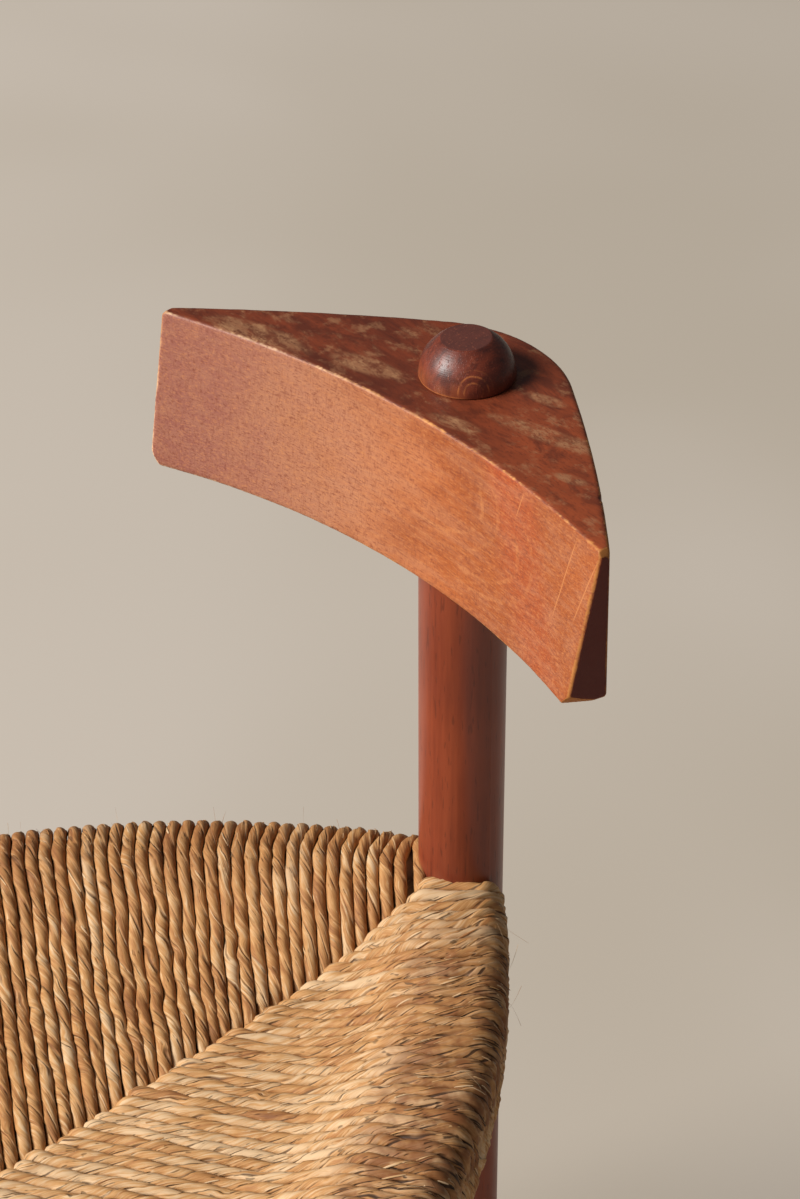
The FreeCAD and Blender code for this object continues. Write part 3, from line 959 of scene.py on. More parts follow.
@dataclass(frozen=True)
class SeatShape:
    """Plan and profile of the seat, the same as the frame's, in metres. It is drawn for the front side.

    The strands lie flat in the seat from the crest over the rail down to the dish in the middle. Sitters
    have pressed them down by the sag, which comes in over sag_in and goes out over sag_out.
    """

    leg_spacing: float = 0.470
    leg_radius: float = 0.018
    rail_straight: float = 0.108
    bow: float = math.radians(26)
    rail_thickness: float = 0.022
    rail_height: float = 0.0375
    rail_edge: float = 0.007
    rail_top: float = 0.4351
    crest: float = 0.4377
    crest_radius: float = 0.080
    dish: float = 0.0295
    lay: float = 0.0030
    bedding: float = 0.0026
    sag: float = 0.0055
    sag_in: tuple[float, float] = (0.015, 0.052)
    sag_out: tuple[float, float] = (0.056, 0.112)
    rebound: float = 1.2
    centre_y: float = -0.0563236
    mitre: float = math.radians(60)

    @property
    def centre(self) -> tuple[float, float]:
        """The seat's centre in plan."""
        return (0.0, self.centre_y)

    @property
    def inradius(self) -> float:
        """From the centre to the line between two legs."""
        return self.leg_spacing / (2 * math.sqrt(3))

    @property
    def bow_radius(self) -> float:
        """Radius of a rail's bends."""
        return (self.leg_spacing - self.rail_straight) / (2 * math.sin(self.bow))

    @property
    def bulge(self) -> float:
        """How far a rail's middle stands out."""
        return self.bow_radius * (1 - math.cos(self.bow))

    @property
    def reach(self) -> float:
        """From a rail's middle to the seat's centre."""
        return self.inradius + self.bulge

    @property
    def rail_length(self) -> float:
        """Length of a rail's middle line between two leg axes."""
        return self.rail_straight + 2 * self.bow_radius * self.bow

    def station(self, s: np.ndarray) -> tuple[np.ndarray, np.ndarray]:
        """Points of the rail's middle line.

        Args:
            s: distances from its middle.

        Returns:
            Plan points, and how far the rail has turned there.
        """
        turn = np.maximum(0.0, np.abs(s) - self.rail_straight / 2) / self.bow_radius
        along = np.minimum(np.abs(s), self.rail_straight / 2) + self.bow_radius * np.sin(turn)
        out = self.bulge - self.bow_radius * (1 - np.cos(turn))
        points = np.stack([np.sign(s) * along, self.centre_y - self.inradius - out], -1)
        return points, np.sign(s) * turn

    @property
    def legs(self) -> np.ndarray:
        """The plan points of the two legs at the front side's ends."""
        return self.station(np.array([-1.0, 1.0]) * self.rail_length / 2)[0]

    def reach_at(self, distance: np.ndarray, skew: np.ndarray) -> np.ndarray:
        """How far in from the rail's middle a strand is, a distance along it."""
        r = self.bow_radius
        return r - np.sqrt(r**2 + distance**2 - 2 * r * distance * np.cos(skew))

    def distance_to(self, reach: np.ndarray, skew: np.ndarray) -> np.ndarray:
        """The distance along a strand at which it is a given reach in from the rail's middle."""
        r = self.bow_radius
        return r * np.cos(skew) - np.sqrt((r - reach) ** 2 - (r * np.sin(skew)) ** 2)

    def reach_of(self, points: np.ndarray) -> np.ndarray:
        """How far in from the rail's middle line plan points are."""
        sideways = np.maximum(0.0, np.abs(points[..., 0]) - self.rail_straight / 2)
        bend_y = self.centre_y - self.reach + self.bow_radius
        return self.bow_radius - np.hypot(sideways, bend_y - points[..., 1])

    def height(self, reach: np.ndarray) -> np.ndarray:
        """Height of a strand's middle over the seat, a reach in from the rail's middle."""
        start = self.rail_thickness / 2 - self.rail_edge
        angle = 2 * math.atan(self.dish / (self.reach - start))
        crest_end = start + self.crest_radius * math.sin(angle)
        dish_radius = (self.reach - start) / math.sin(angle) - self.crest_radius
        inwards = np.clip(reach - start, 0.0, crest_end - start)
        crest = self.crest - self.crest_radius + np.sqrt(self.crest_radius**2 - inwards**2)
        left = np.clip(self.reach - reach, 0.0, self.reach - crest_end)
        hollow = self.crest - self.dish + dish_radius - np.sqrt(dish_radius**2 - left**2)
        worn_in = self.sag * eased(reach, *self.sag_in) * (1 - self.rebound * eased(reach, *self.sag_out))
        return np.where(reach < crest_end, crest, hollow) + self.lay - self.bedding - worn_in


@dataclass
class RushPanel:
    """One side of the seat: strands of twisted rush laid over a rail, from mitre to mitre, in metres.

    Strands sway by groups and on their own, swell, and rise in waves of the lengths and depths given.
    """

    side: Side
    shape: SeatShape
    seed: int
    strands: int = 76
    pieces: int = 4
    strand_radius: float = 0.00283
    turn_share: float = 0.4
    first_clear: float = 0.0214
    outer_clear: float = 0.0160
    mitre_clear: float = 0.0200
    hub_clear: float = 0.002
    foot_clear: float = 0.004
    samples: tuple[int, int, int, int, int] = (58, 7, 4, 6, 30)
    groups: int = 9
    group_waves: tuple[float, float] = (0.060, 0.035)
    group_sway: float = 0.00028
    own_waves: tuple[float, float] = (0.045, 0.022)
    own_sway: float = 0.00010
    swell_waves: tuple[float, float] = (0.044, 0.019)
    size_spread: float = 0.05
    size_limits: tuple[float, float] = (0.80, 1.20)
    rise_waves: tuple[float, float] = (0.07, 0.035)
    rise_depth: float = 0.00022
    widest_gap: float = 0.009
    room_share: float = 1.16
    room_limits: tuple[float, float] = (0.0020, 0.0038)
    twist_limits: tuple[float, float] = (0.030, 0.044)
    slack_spread: float = 0.0010
    slack_limit: float = 0.0018
    squeeze: float = 0.965
    least_step: float = 0.0012
    grime_and_shade_reach: tuple[float, float] = (0.040, 0.006)
    grime_and_shade_from_leg: tuple[float, float] = (0.030, 0.070)
    flatten: float = 0.96
    lumps: float = 0.17
    step: float = 0.0022
    sides: int = 24
    fields: Rows = field(init=False, repr=False)

    def __post_init__(self) -> None:
        """Lays the strands out."""
        self.fields = self.lay_out()

    @property
    def look(self) -> StrandLook:
        """How this side's strands look."""
        return LOOKS[self.side]

    def waves(
        self, random: np.random.Generator, along: np.ndarray, lengths: tuple[float, ...], rows: int
    ) -> np.ndarray:
        """Smooth random waves along each strand, from about -1 to 1.

        Args:
            random: the source of random numbers.
            along: distances at which they are read.
            lengths: wave lengths in metres.
            rows: how many strands.

        Returns:
            One row a strand.
        """
        total = np.zeros((rows, len(along)))
        for length in lengths:
            own = length * random.uniform(0.75, 1.3, (rows, 1))
            phase = random.uniform(0, FULL_TURN, (rows, 1))
            total += np.sin(FULL_TURN * along[None, :] / own + phase)
        return total / math.sqrt(len(lengths))

    def profile(self) -> Rows:
        """The line that each strand follows in its own upright plane, from the centre outwards and round.

        Returns:
            Reach, height, outward direction in reach and height, distance run and layer of each sample.
        """
        shape = self.shape
        on_top, on_edge, on_wall, on_low_edge, on_foot = self.samples
        edge_reach = shape.rail_edge - shape.rail_thickness / 2
        radius = shape.rail_edge + shape.lay
        top = np.linspace(shape.reach - self.hub_clear, -edge_reach, on_top)
        heights = shape.height(top)
        slope = np.gradient(heights, top)
        high_z = shape.rail_top - shape.rail_edge
        low_z = shape.rail_top - shape.rail_height + shape.rail_edge
        wall = np.linspace(high_z, low_z, on_wall + 2)[1:-1]
        foot = np.linspace(edge_reach + self.foot_clear, shape.reach - self.hub_clear, on_foot)

        def bent(start: float, end: float, count: int, z: float) -> tuple[np.ndarray, ...]:
            """Samples round an edge of the rail.

            Args:
                start: the first sample's angle in degrees.
                end: the last one's.
                count: how many there are.
                z: the height of the bend's centre.

            Returns:
                Reach, height, and outward direction in reach and height.
            """
            angle = np.radians(np.linspace(start, end, count))
            out_r, out_z = np.cos(angle), np.sin(angle)
            return edge_reach + radius * out_r, z + radius * out_z, out_r, out_z

        parts = [
            (top, heights, -slope / np.hypot(slope, 1), np.ones_like(slope) / np.hypot(slope, 1)),
            bent(90, 180, on_edge, high_z),
            (np.full(on_wall, edge_reach - radius), wall, np.full(on_wall, -1.0), np.zeros(on_wall)),
            bent(180, 270, on_low_edge, low_z),
            (foot, np.full(on_foot, low_z - radius), np.zeros(on_foot), np.full(on_foot, -1.0)),
        ]
        reach, z, out_r, out_z = (np.concatenate(rows) for rows in zip(*parts))
        run = np.concatenate([[0.0], np.cumsum(np.hypot(np.diff(reach), np.diff(z)))])
        number = np.arange(len(reach))
        line = {"reach": reach, "z": z, "out_r": out_r, "out_z": out_z, "run": run}
        return {**line, "upper": number < on_top, "lower": number >= len(reach) - on_foot}

    def lay_out(self) -> Rows:
        """Places all strands side by side, so that they touch, clear the legs and wander a little.

        Returns:
            Plan points, heights, half widths, room and use of each strand's samples, the samples' outward
            directions, and what each strand has of its own.
        """
        shape, look, random = self.shape, self.look, np.random.default_rng(self.seed)
        line = self.profile()
        reach, run, upper, lower = (line[key] for key in ("reach", "run", "upper", "lower"))
        share = 2 * np.arange(self.strands) / (self.strands - 1) - 1
        s = (shape.rail_length / 2 - self.first_clear) * share
        crossing, turn = shape.station(s)
        heading = self.turn_share * turn
        skew = turn - heading
        inwards = inwards_from(heading)
        normal = np.stack([np.sign(s) * math.cos(shape.mitre), np.full_like(s, math.sin(shape.mitre))], -1)
        to_mitre = ((np.array(shape.centre) - crossing) * normal).sum(-1) / (inwards * normal).sum(-1)
        distance = shape.distance_to(reach[None, :], skew[:, None])
        plan = crossing[:, None, :] + inwards[:, None, :] * distance[..., None]

        # over the rail's outer edge the strands spread evenly from leg to leg
        outer, outer_turn = shape.station((shape.rail_length / 2 - self.outer_clear) * share)
        outer_plan = outer[:, None, :] + inwards_from(outer_turn)[:, None, :] * reach[None, :, None]
        weight = eased(reach, shape.rail_thickness / 2, -shape.rail_thickness / 2)[None, :, None]
        plan = plan * (1 - weight) + outer_plan * weight

        across = np.stack([np.cos(heading), np.sin(heading)], -1)[:, None, :]
        shared = self.waves(random, run, self.group_waves, self.groups)
        spread = np.linspace(0, self.groups - 1, self.strands)
        low, part = np.floor(spread).astype(int), (spread % 1)[:, None]
        shared = shared[low] * (1 - part) + shared[np.minimum(low + 1, self.groups - 1)] * part
        own = self.waves(random, run, self.own_waves, self.strands)
        plan = plan + across * (shared * self.group_sway + own * self.own_sway)[..., None]
        swell = self.waves(random, run, self.swell_waves, self.strands) * look.width_spread
        size = 1 + self.size_spread * random.standard_normal((self.strands, 1)) + swell
        half = self.strand_radius * np.clip(size, *self.size_limits)
        rise = self.waves(random, run, self.rise_waves, self.strands) * self.rise_depth
        rise = rise * (0.4 + upper[None, :])

        valid = (distance < (to_mitre - self.mitre_clear)[:, None]) | ~(upper | lower)[None, :]
        plan = self.relax(plan, half, valid)
        spacing = np.linalg.norm(np.diff(plan, axis=0), axis=-1)
        both = np.concatenate([spacing[:1], spacing]) * 0.5 + np.concatenate([spacing, spacing[-1:]]) * 0.5
        half = half + look.fill * np.maximum(0.0, both / 2 - half) * (both < self.widest_gap)
        return {
            "plan": plan,
            "z": line["z"][None, :] + rise,
            "half_width": half,
            "room": np.clip(both / 2 * self.room_share, *self.room_limits),
            "valid": valid,
            "out_r": line["out_r"],
            "out_z": line["out_z"],
            "crossing": crossing,
            "inwards": inwards,
            "to_mitre": to_mitre,
            "skew": skew,
            "tone": np.clip(random.normal(look.tone, look.tone_spread, self.strands), 0, 1),
            "phase": random.uniform(0, FULL_TURN, self.strands),
            "lay": random.uniform(*self.twist_limits, self.strands),
            "slack": np.clip(
                random.normal(0.0, self.slack_spread, self.strands), -self.slack_limit, self.slack_limit
            ),
        }

    def relax(self, plan: np.ndarray, half: np.ndarray, valid: np.ndarray) -> np.ndarray:
        """Pushes strands off each other and off the legs.

        Args:
            plan: plan points, one row a strand.
            half: half widths there.
            valid: which points are in use.

        Returns:
            The new plan points.
        """
        rounds, most, leg_squeeze = 40, 0.001, 0.93
        wanted = (half[1:] + half[:-1]) * self.squeeze
        pairs = (valid[1:] & valid[:-1])[..., None]
        clear = self.shape.leg_radius + half[..., None] * leg_squeeze
        for _ in range(rounds):
            apart = plan[1:] - plan[:-1]
            gap = np.linalg.norm(apart, axis=-1, keepdims=True)
            push = np.clip(wanted[..., None] - gap, 0.0, most) * apart / gap * pairs * 0.5
            plan = plan.copy()
            plan[1:] += push
            plan[:-1] -= push
            for leg in self.shape.legs:
                plan = pushed_off(plan, leg, clear)
        return plan

    def strand_line(self, index: int) -> Rows:
        """One strand from its upper end over the rail to its lower end.

        Args:
            index: which strand.

        Returns:
            Points, outward directions, half widths, room to each side, how worn it is with painted shade, and
            how torn.
        """
        data, steepest = self.fields, 0.0004
        inwards, use = data["inwards"][index], data["valid"][index]
        plan, z, half, room = (data[key][index][use] for key in ("plan", "z", "half_width", "room"))
        # the outward direction leans the way that the strand runs in plan
        along = np.gradient(plan, axis=0)
        length = np.linalg.norm(along, axis=-1, keepdims=True)
        level = along / np.maximum(length, 1e-9)
        level = np.where((level @ inwards)[:, None] > 0, level, -level)
        level[length[:, 0] < steepest] = inwards
        outward = np.concatenate([level * data["out_r"][use][:, None], data["out_z"][use][:, None]], -1)
        points = np.concatenate([plan, z[:, None]], -1)
        body = {"points": points, "outward": outward, "half_width": half, "room": room}
        ends = (StrandEnd.OVER, StrandEnd.UNDER)
        upper_end, lower_end = ends if index >= self.strands // 2 else reversed(ends)
        upper = self.end_points(index, upper_end, {key: rows[0] for key, rows in body.items()}, 1.0)
        lower = self.end_points(index, lower_end, {key: rows[-1] for key, rows in body.items()}, -1.0)
        line = {key: np.concatenate([upper[key], body[key], lower[key][::-1]]) for key in body}
        line["grime_and_shade"], line["torn"] = self.worn(line["points"])
        return line

    def end_points(self, index: int, end: StrandEnd, last: Rows, up: float) -> Rows:
        """The end of a strand at the mitre, from its very end to the last point of its run.

        Args:
            index: which strand.
            end: how it ends.
            last: the last point of its run, and its half width and room there.
            up: 1 for the upper layer, -1 for the lower one.

        Returns:
            Points, outward directions, half widths and room.
        """
        inwards, crossing, to_mitre, skew, slack = (
            self.fields[key][index] for key in ("inwards", "crossing", "to_mitre", "skew", "slack")
        )
        shape, point = self.shape, last["points"]
        start = (point[:2] - crossing) @ inwards
        shift = point[:2] - crossing - inwards * start
        past, drop, width = np.array(end.value[::-1]).T
        run = to_mitre + slack + past / 1000
        use = run > start + self.least_step
        run = run[use]
        level = np.full(len(run), point[2])
        if up > 0:
            level = shape.height(shape.reach_at(np.minimum(run, to_mitre), skew))
            level += (point[2] - shape.height(shape.reach_at(start, skew))) * 0.5
        z = level - up * drop[use] / 1000
        points = np.concatenate([crossing + shift + inwards * run[:, None], z[:, None]], -1)
        # where the strand dives its outer side turns towards the mitre
        way = -unit(np.diff(np.concatenate([points, point[None, :]]), axis=0))
        outward = np.concatenate([inwards * -way[:, 2:], (way[:, :2] @ inwards)[:, None] * up], -1)
        line = {"points": points, "outward": unit(outward), "half_width": last["half_width"] * width[use]}
        return {**line, "room": np.full(len(run), last["room"])}

    def worn(self, points: np.ndarray) -> tuple[np.ndarray, np.ndarray]:
        """How worn and painted with shade a strand is: most on the upper side over the rail, away from the
        legs.

        Args:
            points: the strand's points.

        Returns:
            How worn, with painted shade, and how torn it is at each of them, from 0 to 1.
        """
        shape, torn, side_depth = self.shape, self.look.torn, 0.02
        upper_side = points[:, 2] > shape.rail_top - side_depth
        grime_and_shade = eased(shape.reach_of(points), *self.grime_and_shade_reach) * upper_side
        from_leg = np.min([np.linalg.norm(points[:, :2] - leg, axis=-1) for leg in shape.legs], axis=0)
        grime_and_shade = grime_and_shade * eased(from_leg, *self.grime_and_shade_from_leg) * min(1.0, 0.4 + torn)
        return grime_and_shade, torn + (1 - torn) * grime_and_shade

    def source_mesh(self, first: int, last: int) -> bpy.types.Mesh:
        """Some strands as plain lines that carry their sizes.

        Args:
            first: the first strand.
            last: one past the last strand.

        Returns:
            A mesh of edges.
        """
        own = {key: self.fields[key][first:last] for key in ("phase", "lay", "tone")}
        own["seed"] = np.arange(first, last) / self.strands
        lines = [self.strand_line(index) for index in range(first, last)]
        return line_mesh(lines, own, self.side.value, self.shape.centre)

    def twisted_cord(self) -> ShapeGraph:
        """The tree that turns lines into twisted, flattened rush cord with folded leaf edges."""
        sizes = {"Step": self.step, "Sides": self.sides, "Leaves": RushLeaf.leaves}
        sizes |= {"Fold": self.look.fold, "Flatten": self.flatten, "Lumps": self.lumps}
        graph = ShapeGraph("twisted_cord", sizes)
        steps = {"Curve": graph.as_curve(graph.given("Geometry")), "Length": graph.given("Step")}
        lines = graph.value("GeometryNodeResampleCurve", steps, mode="LENGTH")
        lines, along = graph.held(lines, graph.value("GeometryNodeSplineParameter", output="Length"))
        lines, centre = graph.held(lines, graph.position())
        lines, tangent = graph.held(lines, graph.direction("GeometryNodeInputTangent"))
        seed = graph.named("seed")
        looseness = graph.noise(graph.vector(seed * 50.0, along * 12.0, 0.0), 1.0, 1.0) * 5.0
        tilt = graph.named("phase") - along * FULL_TURN / graph.named("lay") + looseness
        lines = graph.value("GeometryNodeSetCurveTilt", {"Curve": lines, "Tilt": tilt})

        # the section is an open ring, so that each leaf's place on it runs from 0 to 1
        ring = graph.value("GeometryNodeMeshLine", {"Count": graph.given("Sides") + 1.0})
        ring, around = graph.held(ring, graph.value("GeometryNodeInputIndex") / graph.given("Sides"))
        turn = around * FULL_TURN
        ring = graph.moved(ring, graph.vector(turn.cosine(), turn.sine(), 0.0))
        cord = graph.swept(lines, graph.as_curve(ring))

        outward = graph.outward()
        aside = tangent.cross(outward).normalised()
        offset = graph.position() - centre
        drift = graph.noise(graph.vector(seed * 23.0, along * 28.0, 0.5), 1.0, 1.0) * 14.0
        uneven = around + (turn + drift).sine() * 0.085
        leaf = uneven.fraction() * graph.given("Leaves")
        fold = 0.5 - leaf.fraction()
        loose = graph.noise(graph.vector(leaf.whole() * 3.7, seed * 71.0, along * 30.0), 1.0, 1.0)
        lumps = graph.noise(centre + graph.vector(seed * 3.0, 0.0, 0.0) + offset * 0.6, 170.0, 2.0) - 0.5
        swell = fold * loose * 2.0 * graph.given("Fold") + lumps * graph.given("Lumps") + 1.0
        lift = offset.dot(outward) * swell * graph.given("Flatten")
        shift = offset.dot(aside) * swell
        # a strand squares off against its neighbours where it has no room
        ratio = (shift / graph.named("room")).size() ** 6.0
        shift = shift / (ratio + 1.0) ** (1 / 6)
        cord = graph.moved(cord, centre + outward * lift + aside * shift)
        cord = graph.marked(cord, graph.vector(uneven, along, 0.0))
        graph.finish(graph.value("GeometryNodeMergeByDistance", {"Geometry": cord, "Distance": 0.00002}))
        return graph

    def build(self, material: bpy.types.Material) -> None:
        """Makes the panel's strands, in some pieces of about the same number each."""
        graph = self.twisted_cord()
        bounds = [round(self.strands * number / self.pieces) for number in range(self.pieces + 1)]
        for number, (first, last) in enumerate(zip(bounds, bounds[1:]), 1):
            name = f"{self.side.label}_rush_{number}"
            piece = graph.make(name, self.source_mesh(first, last), material)
            hand_over(piece, f"{self.side.label}_rush")


@dataclass
class FrayedLeaves:
    """Torn leaf ends that lift off the strands of one side, and a few loose hairs over its outer edge.

    Lengths are in metres. Leaf ends are everywhere, but most stand over the rail, and hairs only there.
    """

    panel: RushPanel
    seed: int
    count: int = 1000
    hairs: int = 40
    longest: float = 0.014
    widest: float = 0.00060
    size_limits: tuple[float, float] = (0.35, 1.0)
    end_clear: float = 0.012
    lift: float = 0.0008
    lift_limits: tuple[float, float] = (0.15, 1.0)
    rail_reach: tuple[float, float] = (0.036, 0.004)
    side_depth: float = 0.02
    elsewhere: float = 0.16
    hair_spread: float = 0.35
    hair_height: float = 0.005
    hair_length: float = 0.012
    hair_radius: float = 0.00007
    least_points: int = 40
    flatten: float = 0.14
    steps: int = 5
    profile: int = 6

    def line(self, random: np.random.Generator, strand: Rows, lay: float, hair: bool) -> Rows | None:
        """One leaf end, or one hair, that starts under a strand's surface.

        Args:
            random: the source of random numbers.
            strand: the strand's line.
            lay: the length of one twist of it.
            hair: whether it is a hair.

        Returns:
            Points, outward directions and half widths, or nothing where none belongs.
        """
        shape, points = self.panel.shape, strand["points"]
        run = np.concatenate([[0.0], np.cumsum(np.linalg.norm(np.diff(points, axis=0), axis=-1))])
        start = random.uniform(self.end_clear, run[-1] - self.end_clear)
        length = random.uniform(*self.size_limits) * self.longest
        way, turned = random.choice([-1.0, 1.0]), random.normal(0.0, 0.75)
        lifted = random.uniform(*self.lift_limits)
        share = np.linspace(0.0, 1.0, self.steps)
        at = start + way * length * share * 0.9

        def read(values: np.ndarray, places: np.ndarray = at) -> np.ndarray:
            """The strand's values at places along it, by default at the leaf's points."""
            rows = values if values.ndim == 2 else values[:, None]
            return np.stack([np.interp(places, run, row) for row in rows.T], -1)

        middle, outward = read(points), unit(read(strand["outward"]))
        tangent = np.gradient(read(points, np.linspace(start - 0.004, start + 0.004, self.steps)), axis=0)
        aside = np.cross(unit(tangent), outward)
        near = float(eased(shape.reach_of(middle[:1]), *self.rail_reach)[0])
        near *= middle[0, 2] > shape.rail_top - self.side_depth
        if random.uniform() > (near if hair else self.elsewhere + (1 - self.elsewhere) * near):
            return None
        angle = (turned - FULL_TURN * (at - start) / lay)[:, None]
        half, room = read(strand["half_width"]), read(strand["room"])
        radial = outward * np.cos(angle) + aside * np.sin(angle)
        distance = half * 0.93 + self.lift * lifted * (0.12 + share[:, None] ** 1.6)
        sideways = distance * np.sin(angle)
        sideways /= (1 + (sideways / room) ** 6) ** (1 / 6)
        path = middle + outward * distance * np.cos(angle) + aside * sideways
        width = self.widest * random.uniform(*self.size_limits) * (1.0 - 0.75 * share**2)
        width[0] *= 0.6
        if hair:
            curl = random.normal(0.0, self.hair_spread, 3) + radial[0] * 0.9
            forwards = unit(tangent)[0] * (self.hair_length * way * share[:, None] ** 1.5)
            path = path[:1] + curl * (self.hair_height * share[:, None]) + forwards
            width = np.full(self.steps, self.hair_radius)
        return {"points": path, "outward": radial, "half_width": width}

    def source_mesh(self) -> bpy.types.Mesh:
        """All leaf ends and hairs as plain lines that carry their sizes."""
        random, panel = np.random.default_rng(self.seed), self.panel
        strands = [panel.strand_line(index) for index in range(panel.strands)]
        lines, tones = [], []
        for wanted, hair in ((self.count, False), (self.hairs, True)):
            goal = len(lines) + wanted
            while len(lines) < goal:
                index = int(random.integers(panel.strands))
                if len(strands[index]["points"]) < self.least_points:
                    continue
                line = self.line(random, strands[index], float(panel.fields["lay"][index]), hair)
                if line is not None:
                    lines.append(line)
                    tones.append(float(np.clip(random.normal(0.70, 0.22), 0.1, 1.0)))
        own = {"tone": np.array(tones), "seed": random.uniform(0, 1, len(lines))}
        return line_mesh(lines, own, panel.side.value, panel.shape.centre)

    def flat_leaf(self) -> ShapeGraph:
        """The tree that turns lines into thin, closed leaves with a flattened round section."""
        graph = ShapeGraph("flat_leaf", {"Sides": self.profile, "Flatten": self.flatten})
        lines, centre = graph.held(graph.as_curve(graph.given("Geometry")), graph.position())
        lines, along = graph.held(lines, graph.value("GeometryNodeSplineParameter", output="Length"))
        circle = {"Resolution": graph.given("Sides"), "Radius": 1.0}
        ring = graph.value("GeometryNodeCurvePrimitiveCircle", circle, mode="RADIUS")
        leaves = graph.swept(lines, ring, capped=True)
        outward = graph.outward()
        offset = graph.position() - centre
        flat = centre + offset - outward * (offset.dot(outward) * (1.0 - graph.given("Flatten")))
        strip = graph.vector(graph.named("seed") * 3.0 + 0.12, along, 0.0)
        graph.finish(graph.marked(graph.moved(leaves, flat), strip))
        return graph

    def build(self, material: bpy.types.Material) -> None:
        """Makes the leaf ends of the side."""
        label = self.panel.side.label
        piece = self.flat_leaf().make(f"{label}_rush_frayed", self.source_mesh(), material)
        hand_over(piece, f"{label}_rush")


@dataclass
class Padding:
    """The loose rush packed between the two layers of one side, a grid of columns and rows, in metres."""

    side: Side
    shape: SeatShape
    columns: int = 64
    rows: int = 30
    strand_clear: float = 0.0030
    end_clear: float = 0.004
    rail_clear: float = 0.0006
    leg_clear: float = 0.0008
    hub_shift: float = 0.0012
    hub_share: float = 0.985
    width_share: float = 0.992
    foot: float = 0.3978
    thinnest: float = 0.002
    lump_scale: float = 55.0
    lump_top: float = 0.0008
    lump_foot: float = 0.0005

    def faces(self) -> list[list[int]]:
        """The top, the underside and the wall between them, as vertex numbers."""
        count = (self.columns + 1) * (self.rows + 1)
        grid = np.arange(count).reshape(self.columns + 1, self.rows + 1)
        top = np.stack([grid[:-1, :-1], grid[1:, :-1], grid[1:, 1:], grid[:-1, 1:]], -1).reshape(-1, 4)
        both = np.stack([top, top[:, ::-1] + count], 1).reshape(-1, 4)
        rim = np.concatenate([grid[:, 0], grid[-1, 1:], grid[-2::-1, -1], grid[0, -2:0:-1]])
        after = np.roll(rim, -1)
        return [*both.tolist(), *np.stack([rim, rim + count, after + count, after], -1).tolist()]

    def build(self, material: bpy.types.Material) -> None:
        """Makes the padding as one closed, lumpy body."""
        shape = self.shape
        share = np.linspace(-1, 1, self.columns + 1)
        rail, turn = shape.station(share * (shape.rail_length / 2 - self.end_clear))
        inner = rail + inwards_from(turn) * (shape.rail_thickness / 2 + self.rail_clear)
        centre = np.array(shape.centre) + np.array([0.0, -self.hub_shift])
        depth = np.linspace(0, self.hub_share, self.rows + 1)
        plan = inner[:, None, :] * (1 - depth[None, :, None]) + centre * depth[None, :, None]
        plan[..., 0] *= self.width_share
        for leg in shape.legs:
            plan = pushed_off(plan, leg, shape.leg_radius + self.leg_clear)
        lumps = [[noise.noise(Vector((*point, 0.3)) * self.lump_scale) for point in row] for row in plan]
        lumps = np.array(lumps) + 1
        top = shape.height(shape.reach_of(plan)) - self.strand_clear - self.lump_top * lumps
        top = np.maximum(top, self.foot + self.thinnest)
        bottom = self.foot + self.lump_foot * lumps
        points = [np.concatenate([plan, level[..., None]], -1).reshape(-1, 3) for level in (top, bottom)]
        mesh = bpy.data.meshes.new("padding")
        places = rotated(np.concatenate(points), self.side.value, shape.centre)
        mesh.from_pydata(places.tolist(), [], self.faces())
        editable = bmesh.new()
        editable.from_mesh(mesh)
        bmesh.ops.recalc_face_normals(editable, faces=editable.faces)
        editable.to_mesh(mesh)
        editable.free()
        smooth(mesh)
        piece = new_object(f"{self.side.label}_padding_fill", mesh)
        dress(piece, material)
        hand_over(piece, f"{self.side.label}_padding")


# The back


